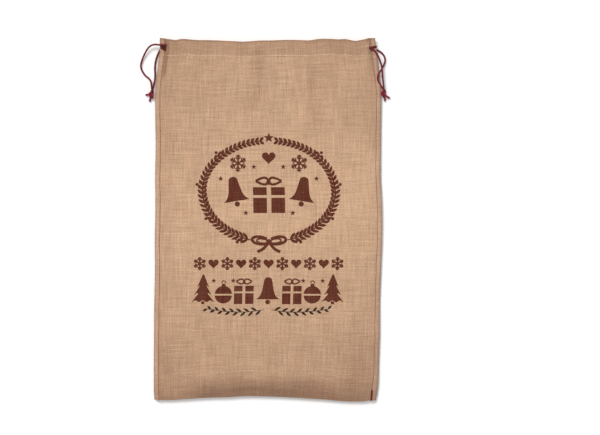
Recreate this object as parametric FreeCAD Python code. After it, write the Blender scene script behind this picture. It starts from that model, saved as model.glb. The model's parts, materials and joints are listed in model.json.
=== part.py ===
"""Drawstring gift sack of coarse jute cloth, empty and lying flat.

One long cloth is folded at the bottom and sewn up both sides, with the seam allowances left
outside as a narrow flange.  At the mouth the cloth is turned down and stitched, front and back,
into two casings.  Two cords run all round the mouth through both casings: each leaves by the
slits at its own side, where its two ends are knotted together.

Millimetres.  X is across the sack, +Y runs from the bottom fold to the mouth, +Z is up.
The origin is on the supporting surface, under the centre of the sack.
The front half of the cloth is the back half mirrored in the seam plane.
"""

import FreeCAD
import Part
import math
import os

from FreeCAD import Vector

# Cloth
sack_width = 500.0         # flat width, flanges included
sack_length = 800.0        # bottom fold to the top of the mouth
mouth_draw = 18.0          # how much narrower it is at the mouth, which the cords draw in
cloth = 1.2                # one layer of jute
seam_allowance = 12.0      # flange outside the side seam
taper_length = 100.0       # stretch below the casing where the sides draw in
body_shoulder = 48.0       # width over which each layer rises from the flat to the side seam
mouth_shoulder = 14.0      # the same at the mouth
fold_shoulder = 60.0       # length over which each layer rises from the flat to the bottom fold

# Casings
casing_depth = 38.0        # top of the mouth to the line of stitches
casing_ramp = 12.0         # length over which a casing swells from its stitches
hem_setback = 19.0         # the hem stops this far inside the side seam, to let the cords turn
mouth_gap = 6.0            # between the two casings

# Cords
cord_diameter = 4.0
cord_clearance = 0.4       # above and below a cord in its casing
slit_clearance = 0.5       # round a cord in its slit
cord_inset = 11.0          # top of the mouth to the left cord
cord_pitch = 6.0           # left cord to right cord, side by side in a casing
turn_inset = 17.0          # side seam to the centre of the cord's turn
exit_inset = 12.0          # side seam to the point where a cord leaves its slit

# Knots
knot_radius = 6.0
knot_length = 17.6
knot_turns = 4
knot_waist = 0.7           # how much the knot narrows between its turns
strand_offset = 2.2        # each strand enters the knot this far from its axis

# Sewing thread
thread_width = 0.8
thread_height = 0.5
thread_inset = 0.8         # side seam or stitched edge to the line of stitches
tack_width = 2.4           # back-stitched ends of a seam
tack_height = 0.9
bottom_tack_length = 22.0
exit_tack_offset = 4.5     # a cord to the tack beside its slits

# Worked out from the sizes above
casing_height = cord_diameter + 2 * cord_clearance + 2 * cloth
sack_height = 2 * casing_height + mouth_gap
seam_z = sack_height / 2
bottom_y = -sack_length / 2
top_y = sack_length / 2
stitch_y = top_y - casing_depth
taper_y = stitch_y - taper_length
fold_radius = 2 * cloth
fold_y = bottom_y + fold_radius
edge_x = sack_width / 2
mouth_edge_x = (sack_width - mouth_draw) / 2
seam_x = edge_x - seam_allowance
mouth_seam_x = mouth_edge_x - seam_allowance
hem_end_x = mouth_seam_x - hem_setback
turn_x = mouth_seam_x - turn_inset
exit_x = mouth_seam_x - exit_inset
back_cord_z = casing_height / 2
front_cord_z = sack_height - back_cord_z
left_cord_y = top_y - cord_inset
right_cord_y = left_cord_y - cord_pitch

# The free strands, each as steps from the point where it leaves its slit.  They fall from the
# casing to the surface, lie beside the sack and rise a little into the knot.
left_front_steps = [(0, 0, 0), (-20, 0, 0), (-40, 1.5, -4), (-52, -14, -9), (-61, -31, -13),
                    (-65.5, -49, -14.6), (-56, -67, -14.7), (-47, -77, -13),
                    (-43.7, -89.5, -10.8), (-43.7, -101, -10.8)]
left_back_steps = [(0, 0, 0), (-15, 0, 0), (-24, -15, -1), (-31, -33, -1.5), (-33.2, -51, -1.5),
                   (-32, -69, -1), (-34.5, -82, 0.6), (-39.3, -91, 2.4), (-39.3, -101, 2.4)]
right_front_steps = [(0, 0, 0), (12, 0, 0), (25, -9, -3), (32.5, -25, -7), (38, -44, -10),
                     (39.5, -62, -10.5), (41.7, -76, -10.9), (43.7, -85, -10.8),
                     (43.7, -93.5, -10.8)]
right_back_steps = [(0, 0, 0), (16, 0, 0), (38.5, -10, -0.8), (46, -25, -1.5),
                    (39.5, -44.5, -1.5), (30.5, -64, -1.5), (34, -75, 0.6), (39.3, -84, 2.4),
                    (39.3, -93.5, 2.4)]

# The two cut ends of each cord, from the centre of its knot to the tip.
left_tail_tips = [(-12.5, -1, -3.8), (-4, -15, -3.8)]
right_tail_tips = [(13.5, -9, -3.8), (2.5, -16, -3.8)]


def outline(points, arcs=()):
    """Closed wire through points, in order.  arcs maps the number of a side to a point on its arc."""
    arcs = dict(arcs)
    edges = []
    for i, start in enumerate(points):
        end = points[(i + 1) % len(points)]
        if i in arcs:
            edges.append(Part.Arc(start, arcs[i], end).toShape())
        else:
            edges.append(Part.LineSegment(start, end).toShape())
    return Part.Wire(edges)


def prism(wire, direction):
    return Part.Face(wire).extrude(direction)


def box(x, y, z):
    """Box between the low and high value along each axis."""
    size = [high - low for low, high in (x, y, z)]
    return Part.makeBox(*size, Vector(x[0], y[0], z[0]))


def mirror_front(shape):
    """The front half of the cloth is the back half mirrored in the seam plane."""
    return shape.mirror(Vector(0, 0, seam_z), Vector(0, 0, 1))


def mirror_side(shape):
    return shape.mirror(Vector(0, 0, 0), Vector(1, 0, 0))


def shoulder_middle(run, rise):
    """Point on the arc that leaves the flat tangentially and gains rise over run: (run, rise)."""
    radius = (run * run + rise * rise) / (2 * rise)
    half_turn = math.atan2(run, radius - rise) / 2
    return radius * math.sin(half_turn), radius * (1 - math.cos(half_turn))


# Cloth body

def body_section(y, half, shoulder):
    """Space above the back layer at one station: flat in the middle, rising to both side seams."""
    rise = seam_z - cloth
    run_middle, rise_middle = shoulder_middle(shoulder, rise)
    flat = half - shoulder
    points = [
        Vector(-half, y, sack_height), Vector(-half, y, rise), Vector(-flat, y, 0),
        Vector(flat, y, 0), Vector(half, y, rise), Vector(half, y, sack_height),
    ]
    arcs = {
        1: Vector(-flat - run_middle, y, rise_middle),
        3: Vector(flat + run_middle, y, rise_middle),
    }
    return outline(points, arcs)


def back_panel():
    """Single layer, dished: it lies flat in the middle and rises to the seams and the fold."""
    across = Part.makeLoft([
        body_section(fold_y, seam_x, body_shoulder),
        body_section(taper_y, seam_x, body_shoulder),
        body_section(stitch_y, mouth_seam_x, mouth_shoulder),
    ], True, True)
    rise = seam_z - fold_radius
    run_middle, rise_middle = shoulder_middle(fold_shoulder, rise)
    foot = fold_y + fold_shoulder
    along = prism(outline([
        Vector(-edge_x, fold_y, sack_height), Vector(-edge_x, fold_y, rise),
        Vector(-edge_x, foot, 0), Vector(-edge_x, stitch_y, 0),
        Vector(-edge_x, stitch_y, sack_height),
    ], {1: Vector(-edge_x, foot - run_middle, rise_middle)}), Vector(sack_width, 0, 0))
    space = across.common(along)
    return space.cut(space.translated(Vector(0, 0, cloth)))


def bottom_fold():
    """The half-round turn of the cloth from the back panel to the front panel."""
    def across(radius, side):
        return Vector(-seam_x, fold_y, seam_z + side * radius)

    inner = fold_radius - cloth
    wire = outline(
        [across(fold_radius, -1), across(fold_radius, 1), across(inner, 1), across(inner, -1)],
        {0: Vector(-seam_x, fold_y - fold_radius, seam_z),
         2: Vector(-seam_x, fold_y - inner, seam_z)},
    )
    return prism(wire, Vector(2 * seam_x, 0, 0))


def side_seam():
    """Right-hand flange: the two raw edges sewn together, from the fold to the casing."""
    low = seam_z - cloth
    wire = outline([
        Vector(seam_x, bottom_y, low), Vector(edge_x, bottom_y, low),
        Vector(edge_x, taper_y, low), Vector(mouth_edge_x, stitch_y, low),
        Vector(mouth_seam_x, stitch_y, low), Vector(seam_x, taper_y, low),
    ])
    return prism(wire, Vector(0, 0, 2 * cloth))


# Casings

def casing_outline(inset):
    """Back casing seen from the side, at x = -hem_end_x, shrunk by inset."""
    fold = casing_height / 2 - inset
    fold_centre_y = top_y - casing_height / 2
    slope = (casing_height - fold_radius) / casing_ramp
    drop = inset * math.hypot(1, slope)
    start_z = fold_radius - drop
    apex = max(0.0, (inset - start_z) / slope)
    shoulder = (casing_height - inset - start_z) / slope
    points = [
        (stitch_y + apex, inset), (fold_centre_y, inset),
        (fold_centre_y, casing_height - inset), (stitch_y + shoulder, casing_height - inset),
    ]
    if apex == 0.0:
        points.append((stitch_y, start_z))
    arcs = {1: Vector(-hem_end_x, fold_centre_y + fold, casing_height / 2)}
    return outline([Vector(-hem_end_x, y, z) for y, z in points], arcs)


def stitch_groove():
    """Where the back casing's thread is drawn into the cloth, so that it lies flush below."""
    low = stitch_y + thread_inset
    return box((-hem_end_x, hem_end_x), (low, low + thread_width), (0, thread_height))


def plain_casing():
    """Cloth turned down on itself: a flat tunnel, pinched shut at its line of stitches."""
    across = Vector(2 * hem_end_x, 0, 0)
    return prism(casing_outline(0), across).cut(prism(casing_outline(cloth), across))


def mouth_corner(cord_y):
    """Right-hand end of both casings, where they come down to the side seam.

    The hem's inner layer stops short, and a slit in each outer layer lets this side's cord out.
    """
    rise = seam_z - cloth
    foot = mouth_seam_x - mouth_shoulder
    depth = Vector(0, casing_depth, 0)
    ramp = prism(outline([
        Vector(hem_end_x, stitch_y, 0), Vector(foot, stitch_y, 0),
        Vector(mouth_seam_x, stitch_y, rise), Vector(mouth_seam_x, stitch_y, seam_z),
        Vector(foot, stitch_y, cloth), Vector(hem_end_x, stitch_y, cloth),
    ]), depth)
    flange = box((mouth_seam_x, mouth_edge_x), (stitch_y, top_y), (rise, seam_z + cloth))
    corner = flange.fuse([ramp, mirror_front(ramp)])
    slit_radius = cord_diameter / 2 + slit_clearance
    for z in (back_cord_z, front_cord_z):
        slit = Part.makeCylinder(slit_radius, hem_setback, Vector(hem_end_x, cord_y, z),
                                 Vector(1, 0, 0))
        corner = corner.cut(slit)
    return corner.removeSplitter()


# Thread

def seam_stitches(front_start):
    """Right-hand seam thread, one line on each face of the flange.

    The line on the front starts above the bottom tack, where there is one.
    """
    inner = thread_inset
    outer = thread_inset + thread_width
    lines = []
    for low, start in ((seam_z + cloth, front_start),
                       (seam_z - cloth - thread_height, bottom_y)):
        wire = outline([
            Vector(seam_x + inner, start, low), Vector(seam_x + outer, start, low),
            Vector(seam_x + outer, taper_y, low), Vector(mouth_seam_x + outer, stitch_y, low),
            Vector(mouth_seam_x + inner, stitch_y, low), Vector(seam_x + inner, taper_y, low),
        ])
        lines.append(prism(wire, Vector(0, 0, thread_height)))
    return Part.makeCompound(lines)


def bottom_tack():
    """Back-stitching that locks the right-hand seam at its bottom end, on the front."""
    low = seam_x + thread_inset
    top = seam_z + cloth
    return box((low, low + tack_width), (bottom_y, bottom_y + bottom_tack_length),
               (top, top + tack_height))


def exit_tack(cord_y, side):
    """Back-stitching across the right-hand flange, above (1) or below (-1) the cord's slits."""
    low = cord_y + side * exit_tack_offset - tack_width / 2
    top = seam_z + cloth
    return box((mouth_seam_x, mouth_edge_x), (low, low + tack_width), (top, top + tack_height))


def front_casing_stitches():
    low = stitch_y + thread_inset
    return box((-hem_end_x, hem_end_x), (low, low + thread_width),
               (sack_height, sack_height + thread_height))


# Cords

def tube(path):
    """Round cord swept along a path of straight runs and tangent arcs."""
    start = path.Edges[0].firstVertex().Point
    direction = path.Edges[0].tangentAt(path.Edges[0].FirstParameter)
    section = Part.Wire(Part.makeCircle(cord_diameter / 2, start, direction))
    return path.makePipeShell([section], True, True)


def cord_run(side, cord_y):
    """The length held in the casings: along the front, round the far side and back behind."""
    near = side * exit_x
    far = -side * turn_x
    turn_radius = (front_cord_z - back_cord_z) / 2
    front = [Vector(near, cord_y, front_cord_z), Vector(far, cord_y, front_cord_z)]
    back = [Vector(far, cord_y, back_cord_z), Vector(near, cord_y, back_cord_z)]
    turn = Vector(far - side * turn_radius, cord_y, seam_z)
    return tube(Part.Wire([
        Part.LineSegment(*front).toShape(),
        Part.Arc(front[1], turn, back[0]).toShape(),
        Part.LineSegment(*back).toShape(),
    ]))


def strand(name, exit_point, steps):
    """A free strand: straight runs between its points, with an arc as large as fits at each."""
    points = [exit_point + Vector(*step) for step in steps]
    edges = []
    radii = []
    at = points[0]
    for before, corner, after in zip(points, points[1:], points[2:]):
        inward = corner - before
        outward = after - corner
        turn = inward.getAngle(outward)
        trim = 0.45 * min(inward.Length, outward.Length)
        radii.append(trim / math.tan(turn / 2))
        inward.normalize()
        outward.normalize()
        arc_start = corner - inward * trim
        arc_end = corner + outward * trim
        bisector = (outward - inward).normalize()
        reach = radii[-1] / math.cos(turn / 2) - radii[-1]
        edges.append(Part.LineSegment(at, arc_start).toShape())
        edges.append(Part.Arc(arc_start, corner + bisector * reach, arc_end).toShape())
        at = arc_end
    edges.append(Part.LineSegment(at, points[-1]).toShape())
    path = Part.Wire(edges)
    solid = tube(path)
    expected = math.pi * cord_diameter ** 2 / 4 * path.Length
    print(f"{name}: length {path.Length:.1f}, smallest radius {min(radii):.1f}, "
          f"volume ratio {solid.Volume / expected:.4f}")
    return solid


def knot_centre(exit_point, steps):
    """The knot's axis lies between its two strands, and its top face takes their ends."""
    end = exit_point + Vector(*steps[-1])
    towards_sack = -math.copysign(strand_offset, end.x)
    return Vector(end.x + towards_sack, end.y - knot_length / 2, knot_radius)


def knot(centre):
    """Overhand knot of the doubled cord, as a barrel of turns lying along Y."""
    turn = knot_length / knot_turns
    low = -knot_length / 2
    waist = knot_radius - knot_waist
    points = [Vector(waist, low + i * turn, 0) for i in range(knot_turns + 1)]
    points += [Vector(0, -low, 0), Vector(0, low, 0)]
    arcs = {i: Vector(knot_radius, low + (i + 0.5) * turn, 0) for i in range(knot_turns)}
    barrel = Part.Face(outline(points, arcs)).revolve(Vector(0, 0, 0), Vector(0, 1, 0), 360)
    return Part.Solid(barrel.Shells[0]).translated(centre)


def tails(centre, tips):
    """The two cut ends, sticking out of the knot and drooping to the surface."""
    ends = [Part.makeCylinder(cord_diameter / 2, Vector(*tip).Length, centre, Vector(*tip))
            for tip in tips]
    return Part.makeCompound([end.cut(knot(centre)) for end in ends])


def cord_pieces(name, side, cord_y, front_steps, back_steps, tips):
    front_exit = Vector(side * exit_x, cord_y, front_cord_z)
    back_exit = Vector(side * exit_x, cord_y, back_cord_z)
    centre = knot_centre(front_exit, front_steps)
    return {
        f"{name}_cord_run": cord_run(side, cord_y),
        f"{name}_front_strand": strand(f"{name}_front_strand", front_exit, front_steps),
        f"{name}_back_strand": strand(f"{name}_back_strand", back_exit, back_steps),
        f"{name}_knot": knot(centre),
        f"{name}_cord_tails": tails(centre, tips),
    }


def sack():
    """Every piece of the sack, by the name of its node."""
    panel = back_panel()
    casing = plain_casing()
    pieces = {
        "back_panel": panel,
        "front_panel": mirror_front(panel),
        "bottom_fold": bottom_fold(),
        "right_side_seam": side_seam(),
        "left_side_seam": mirror_side(side_seam()),
        "back_casing": casing.cut(stitch_groove()),
        "front_casing": mirror_front(casing),
        "right_mouth_corner": mouth_corner(right_cord_y),
        "left_mouth_corner": mirror_side(mouth_corner(left_cord_y)),
        "right_seam_stitches": seam_stitches(bottom_y + bottom_tack_length),
        "left_seam_stitches": mirror_side(seam_stitches(bottom_y)),
        "front_casing_stitches": front_casing_stitches(),
        "back_casing_stitches": stitch_groove(),
        "right_bottom_tack": bottom_tack(),
        "right_exit_tack": exit_tack(right_cord_y, 1),
        "left_exit_tack": mirror_side(exit_tack(left_cord_y, -1)),
    }
    pieces.update(cord_pieces("left", -1, left_cord_y, left_front_steps, left_back_steps,
                              left_tail_tips))
    pieces.update(cord_pieces("right", 1, right_cord_y, right_front_steps, right_back_steps,
                              right_tail_tips))
    return pieces


os.makedirs("parts", exist_ok=True)
for node, shape in sack().items():
    for solid in shape.Solids:
        if not solid.isValid() or solid.Volume <= 0:
            raise ValueError(f"{node} has a solid that is not sound")
    shape.exportStep(f"parts/{node}.step")
    print(f"{node}: {len(shape.Solids)} solid(s), {shape.Volume:.1f} mm3")
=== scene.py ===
# %% [markdown]
# # A drawstring gift sack of jute cloth
#
# The solid model gives the sizes and the bodies that move.  This script dresses it: cloth with
# a woven finish, stitches, braided cords with their knots, a printed front, and a plain studio.
#
# Units are metres.  X is across the sack, +Y runs to its mouth and +Z is up.

# %% Tools and the frame
import json
import math

import bpy
import numpy as np
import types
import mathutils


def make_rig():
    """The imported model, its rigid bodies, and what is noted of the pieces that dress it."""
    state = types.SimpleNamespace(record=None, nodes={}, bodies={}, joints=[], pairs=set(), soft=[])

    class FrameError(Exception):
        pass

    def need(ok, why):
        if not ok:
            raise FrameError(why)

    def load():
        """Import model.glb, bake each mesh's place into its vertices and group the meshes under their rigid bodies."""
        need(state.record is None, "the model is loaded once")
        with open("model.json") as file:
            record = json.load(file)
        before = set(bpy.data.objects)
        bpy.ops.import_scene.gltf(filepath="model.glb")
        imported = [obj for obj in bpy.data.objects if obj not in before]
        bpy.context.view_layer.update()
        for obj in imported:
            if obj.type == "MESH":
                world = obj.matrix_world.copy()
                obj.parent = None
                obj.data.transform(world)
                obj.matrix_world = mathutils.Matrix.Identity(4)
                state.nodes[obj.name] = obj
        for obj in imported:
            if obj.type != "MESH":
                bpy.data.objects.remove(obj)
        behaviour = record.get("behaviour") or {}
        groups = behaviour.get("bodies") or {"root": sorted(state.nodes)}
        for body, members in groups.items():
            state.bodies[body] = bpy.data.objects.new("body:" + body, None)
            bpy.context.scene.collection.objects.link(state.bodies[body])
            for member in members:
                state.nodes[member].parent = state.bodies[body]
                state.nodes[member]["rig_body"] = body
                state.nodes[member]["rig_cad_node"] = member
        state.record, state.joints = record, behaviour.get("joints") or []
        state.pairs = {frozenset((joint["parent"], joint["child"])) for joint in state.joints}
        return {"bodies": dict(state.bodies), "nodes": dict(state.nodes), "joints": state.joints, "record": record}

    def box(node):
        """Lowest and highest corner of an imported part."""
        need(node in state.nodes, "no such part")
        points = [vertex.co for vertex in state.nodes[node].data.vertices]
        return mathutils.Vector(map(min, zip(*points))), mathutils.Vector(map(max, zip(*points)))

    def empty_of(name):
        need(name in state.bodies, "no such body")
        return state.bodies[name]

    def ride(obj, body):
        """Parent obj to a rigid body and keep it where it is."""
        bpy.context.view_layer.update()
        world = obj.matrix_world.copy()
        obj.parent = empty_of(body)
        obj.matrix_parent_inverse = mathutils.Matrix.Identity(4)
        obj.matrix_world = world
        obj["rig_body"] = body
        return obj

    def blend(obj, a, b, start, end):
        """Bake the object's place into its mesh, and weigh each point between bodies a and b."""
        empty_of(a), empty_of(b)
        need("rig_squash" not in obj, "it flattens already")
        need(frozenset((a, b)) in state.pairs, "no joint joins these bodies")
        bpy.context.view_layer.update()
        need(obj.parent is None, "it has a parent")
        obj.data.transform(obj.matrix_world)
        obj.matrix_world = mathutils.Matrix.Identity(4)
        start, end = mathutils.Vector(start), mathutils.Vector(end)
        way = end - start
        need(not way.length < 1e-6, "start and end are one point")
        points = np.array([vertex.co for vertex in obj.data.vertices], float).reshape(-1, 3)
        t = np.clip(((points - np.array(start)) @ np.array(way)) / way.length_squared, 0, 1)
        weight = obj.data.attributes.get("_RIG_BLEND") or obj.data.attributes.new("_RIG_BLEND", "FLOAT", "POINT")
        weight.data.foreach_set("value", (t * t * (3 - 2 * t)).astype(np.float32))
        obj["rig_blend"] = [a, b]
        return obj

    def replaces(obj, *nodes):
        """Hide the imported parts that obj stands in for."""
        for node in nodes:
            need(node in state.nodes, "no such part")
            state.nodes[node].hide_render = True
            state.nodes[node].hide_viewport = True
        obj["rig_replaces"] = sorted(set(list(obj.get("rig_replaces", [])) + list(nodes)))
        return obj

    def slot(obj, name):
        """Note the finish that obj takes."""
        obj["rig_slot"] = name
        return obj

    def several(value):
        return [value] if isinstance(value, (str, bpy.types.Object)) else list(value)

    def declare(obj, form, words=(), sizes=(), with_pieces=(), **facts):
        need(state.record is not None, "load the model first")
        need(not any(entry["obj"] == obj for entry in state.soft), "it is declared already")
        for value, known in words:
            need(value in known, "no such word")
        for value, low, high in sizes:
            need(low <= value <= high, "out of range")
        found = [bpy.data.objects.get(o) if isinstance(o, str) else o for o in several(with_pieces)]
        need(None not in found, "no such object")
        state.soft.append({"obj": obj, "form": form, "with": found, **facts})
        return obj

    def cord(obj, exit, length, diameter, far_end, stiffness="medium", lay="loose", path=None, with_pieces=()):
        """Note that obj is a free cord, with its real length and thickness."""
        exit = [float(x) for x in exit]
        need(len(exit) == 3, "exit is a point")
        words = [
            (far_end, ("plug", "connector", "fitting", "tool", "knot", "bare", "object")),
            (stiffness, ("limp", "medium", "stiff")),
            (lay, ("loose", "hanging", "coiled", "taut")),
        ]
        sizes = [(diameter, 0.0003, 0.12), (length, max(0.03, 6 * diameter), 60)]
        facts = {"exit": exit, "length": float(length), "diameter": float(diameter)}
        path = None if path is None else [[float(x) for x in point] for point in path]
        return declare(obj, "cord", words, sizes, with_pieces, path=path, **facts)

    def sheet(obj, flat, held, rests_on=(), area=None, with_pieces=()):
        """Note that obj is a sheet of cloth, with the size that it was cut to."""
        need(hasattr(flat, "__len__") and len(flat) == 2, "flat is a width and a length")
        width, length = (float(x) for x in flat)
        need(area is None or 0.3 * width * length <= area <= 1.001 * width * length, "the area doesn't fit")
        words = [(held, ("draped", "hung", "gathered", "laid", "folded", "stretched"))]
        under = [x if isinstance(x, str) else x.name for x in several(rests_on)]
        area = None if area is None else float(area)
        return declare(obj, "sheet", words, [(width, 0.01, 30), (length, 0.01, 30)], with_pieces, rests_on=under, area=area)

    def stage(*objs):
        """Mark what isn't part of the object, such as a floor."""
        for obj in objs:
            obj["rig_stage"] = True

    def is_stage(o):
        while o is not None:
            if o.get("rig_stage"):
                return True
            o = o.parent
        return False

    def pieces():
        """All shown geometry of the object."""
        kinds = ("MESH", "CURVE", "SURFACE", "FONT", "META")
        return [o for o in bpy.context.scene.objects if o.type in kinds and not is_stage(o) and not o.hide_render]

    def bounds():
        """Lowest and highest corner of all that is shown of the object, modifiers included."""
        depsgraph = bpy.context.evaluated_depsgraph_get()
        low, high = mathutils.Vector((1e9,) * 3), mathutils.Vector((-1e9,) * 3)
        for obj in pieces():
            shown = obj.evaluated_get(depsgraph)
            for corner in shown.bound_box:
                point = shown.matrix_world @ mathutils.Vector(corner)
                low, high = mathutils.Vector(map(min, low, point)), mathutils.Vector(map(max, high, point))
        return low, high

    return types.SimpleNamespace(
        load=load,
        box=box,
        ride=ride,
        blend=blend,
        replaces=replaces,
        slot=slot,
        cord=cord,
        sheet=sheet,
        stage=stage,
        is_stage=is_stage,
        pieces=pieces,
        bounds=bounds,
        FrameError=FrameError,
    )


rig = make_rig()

for block in list(bpy.data.objects):
    bpy.data.objects.remove(block, do_unlink=True)
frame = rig.load()
cad_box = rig.bounds()
rng = np.random.default_rng(7)
print("bodies:", sorted(frame["bodies"]), "nodes:", len(frame["nodes"]))

# %% [markdown]
# ## Sizes, read from the solid model
#
# A sack like this is cut to a few sizes: how wide between the side seams, how long from the
# fold to the mouth, how deep the casing that holds the cords.  They could be typed in again,
# but two sets of numbers drift apart, so the corners of the solid model's boxes give them here.

# %% Sizes
MM = 0.001          # a millimetre; every length below is in metres
panel_low, panel_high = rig.box("front_panel")
flange_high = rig.box("right_side_seam")[1]
fold_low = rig.box("bottom_fold")[0]
casing_low, casing_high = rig.box("front_casing")
back_casing_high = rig.box("back_casing")[1]
corner_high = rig.box("right_mouth_corner")[1]
tack_low, tack_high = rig.box("right_bottom_tack")

SEAM_Z = panel_low[2]               # the plane in which front and back are sewn together
TOP_Z = panel_high[2]               # the top of the sack
CLOTH = flange_high[2] - SEAM_Z     # one layer of cloth
SEAM_X = panel_high[0]              # side seam over most of the length
FLANGE = flange_high[0] - SEAM_X    # seam allowance outside it
MOUTH_SEAM_X = corner_high[0] - FLANGE    # side seam at the mouth, where it draws in
HEM_X = casing_high[0]              # the casings' inner layers end here
STITCH_Y = casing_low[1]            # where the casing ends
STITCH_ROW_Y = STITCH_Y + 0.0024    # the front row of stitches lies just inside it
MOUTH_Y = casing_high[1]
FOLD_Y = fold_low[1]
CASING = back_casing_high[2]        # height of one casing
print("seam plane", SEAM_Z, "top", TOP_Z, "cloth", CLOTH, "casing", CASING)


# %% [markdown]
# ## Shape of the cloth
#
# Empty jute cloth lies nearly flat: it swells a little between its seams, waves slowly where it
# is slack, creases below the casing, and its edges never run quite straight.  A cloth
# simulation could drape it, but would settle differently each time and leave the seams to
# chance.  So every piece of cloth, and all that is sewn or printed on it, is laid out on a flat
# pattern (x, y) and then moved by the same few functions, and it all stays together.

# %% Shape functions
def ease(t):
    """Smooth step: 3t² - 2t³ for t held to 0..1."""
    t = np.clip(t, 0.0, 1.0)
    return t * t * (3.0 - 2.0 * t)


def dome(t):
    """Parabola that leaves 0 steeply and arrives at 1 level: 1 - (1 - t)² for t in 0..1."""
    return 1.0 - (1.0 - np.clip(t, 0.0, 1.0)) ** 2


def bump(x, centre, width):
    """Bell curve exp(-((x - centre) / width)²)."""
    return np.exp(-(((x - centre) / width) ** 2))


def curve_through(at, table):
    """Smooth curve through (position, value) pairs: cubic Hermite with finite-difference slopes."""
    xs, ys = np.array(table, float).T
    slope = np.gradient(ys, xs)
    at = np.clip(at, xs[0], xs[-1])
    i = np.clip(np.searchsorted(xs, at) - 1, 0, len(xs) - 2)
    h = xs[i + 1] - xs[i]
    t = (at - xs[i]) / h
    return ((2 * t**3 - 3 * t**2 + 1) * ys[i] + (t**3 - 2 * t**2 + t) * h * slope[i]
            + (-2 * t**3 + 3 * t**2) * ys[i + 1] + (t**3 - t**2) * h * slope[i + 1])


print("half way up a smooth step:", ease(0.5), "and a dome:", dome(0.5))

# %% The outline
# How far each edge of the real outline strays from the straight pattern: (place, stray), both
# in millimetres, along Y for the sides and along X for the bottom and the mouth.
LEFT_EDGE = [(-400, -0.5), (-380, -1.9), (-360, -1.9), (-320, -2.0), (-250, -1.6), (-180, -0.9),
             (-110, 0.6), (-40, 0.2), (30, 1.5), (100, 0.9), (160, 2.2), (245, 0.9), (300, 0.8),
             (330, 1.2), (350, 1.6), (373, 3.4), (400, 2.6)]
RIGHT_EDGE = [(-400, -8.6), (-380, -5.2), (-360, -3.2), (-320, -2.2), (-250, 0.0), (-180, 0.4),
              (-110, 2.6), (-40, 5.2), (30, 5.1), (100, 2.3), (160, 2.4), (245, 3.2), (300, 3.4),
              (330, 3.2), (350, 2.2), (373, 1.0), (400, -1.5)]
BOTTOM_EDGE = [(-250, 1.2), (-228, 0.0), (-188, 2.0), (-128, 5.7), (-87, 6.6), (-47, 8.9),
               (-20, 8.9), (33, 7.4), (93, 4.0), (133, 1.4), (173, -2.0), (200, -2.9),
               (222, -2.6), (236, -0.6), (250, 0.4)]
TOP_EDGE = [(-250, 4), (-235, 4), (-220, 1), (-205, -1), (-190, 1.5), (-180, 1), (-165, -0.5),
            (-125, -1.5), (-75, -3.5), (-55, -4.5), (-35, -3.5), (-15, -2), (5, -2), (30, -1),
            (70, -1), (95, -1.5), (115, 1.5), (140, 1.5), (160, 0.5), (175, 1), (185, -1),
            (195, -3), (208, -1), (218, 1), (228, 4), (237, 4), (250, 4)]


def warp(x, y):
    """Moves the straight pattern's (x, y) to the real outline; the moves fade towards the middle."""
    side = np.clip(x / 0.25, -1.0, 1.0)
    dx = (curve_through(y / MM, LEFT_EDGE) * (0.5 - 0.5 * side)
          + curve_through(y / MM, RIGHT_EDGE) * (0.5 + 0.5 * side)) * MM
    reach = 0.055 - 0.035 * ease((np.abs(x) - 0.185) / 0.035)
    dy = (curve_through(x / MM, BOTTOM_EDGE) * bump(y, FOLD_Y, 0.13)
          + curve_through(x / MM, TOP_EDGE) * bump(y, MOUTH_Y, reach)) * MM
    return x + dx, y + dy


def seam_x(y):
    """Half width between the side seams: SEAM_X, drawing in to MOUTH_SEAM_X towards the mouth."""
    return SEAM_X + (MOUTH_SEAM_X - SEAM_X) * ease((y - 0.265) / 0.135)


print("the corner of the mouth moves from", (SEAM_X, MOUTH_Y), "to", warp(SEAM_X, MOUTH_Y))


# %% Waves, pleats and creases
def waves(x, y):
    """Slow rise and fall of slack cloth: a few sine waves that cross at odd angles."""
    return MM * (
        0.42 * np.sin(11.0 * x + 17.0 * y + 0.6) * np.sin(6.0 * y - 9.0 * x + 1.1)
        + 0.26 * np.sin(31.0 * x - 7.0 * y + 2.0) * np.sin(13.0 * y + 0.4)
        + 0.16 * np.sin(47.0 * x + 23.0 * y) * np.sin(19.0 * x - 29.0 * y + 0.7))


def gather(x, y):
    """Soft pleats that hang from the casing and die out below it: two sines across the cloth,
    46 and 27 mm from pleat to pleat."""
    below = ease((y - 0.19) / 0.17)
    pleat = (0.30 * np.sin(x * 2 * np.pi / 0.046 + 1.4 * np.sin(x * 13.0))
             + 0.20 * np.sin(x * 2 * np.pi / 0.027 + 0.8))
    return MM * below * pleat


def fold_line(x, y, x0, y0, width, reach, height, lean=0.0):
    """One crease that runs along Y: a lop-sided bell curve, steep on its right, height
    millimetres high, that fades out at reach above and below y0."""
    across = x - x0 - lean * (y - y0)
    ridge = np.where(across < 0, bump(across, 0, 2.2 * width), bump(across, 0, 0.75 * width))
    return height * MM * ridge * bump(y, y0, reach)


def relief(x, y):
    """All that lifts the front above its smooth dome: waves, pleats, four creases, and a hollow
    and a bulge near the bottom."""
    return (waves(x, y) + gather(x, y)
            + fold_line(x, y, -0.044, 0.318, 0.008, 0.052, 2.0, 0.10)
            + fold_line(x, y, 0.086, 0.300, 0.009, 0.060, 1.5, -0.05)
            + fold_line(x, y, -0.176, 0.290, 0.014, 0.050, 0.5, 0.2)
            + fold_line(x, y, 0.168, 0.270, 0.013, 0.070, 0.6, -0.1)
            - 1.1 * MM * bump(x, 0.100, 0.040) * bump(y, -0.345, 0.022)
            + 0.9 * MM * bump(x, -0.120, 0.060) * bump(y, -0.335, 0.030))


print("relief in the middle:", round(float(relief(0.0, 0.0)) / MM, 2), "mm")


# %% Shade of the cloth
DEEPEST_SHADE = 0.48


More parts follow.
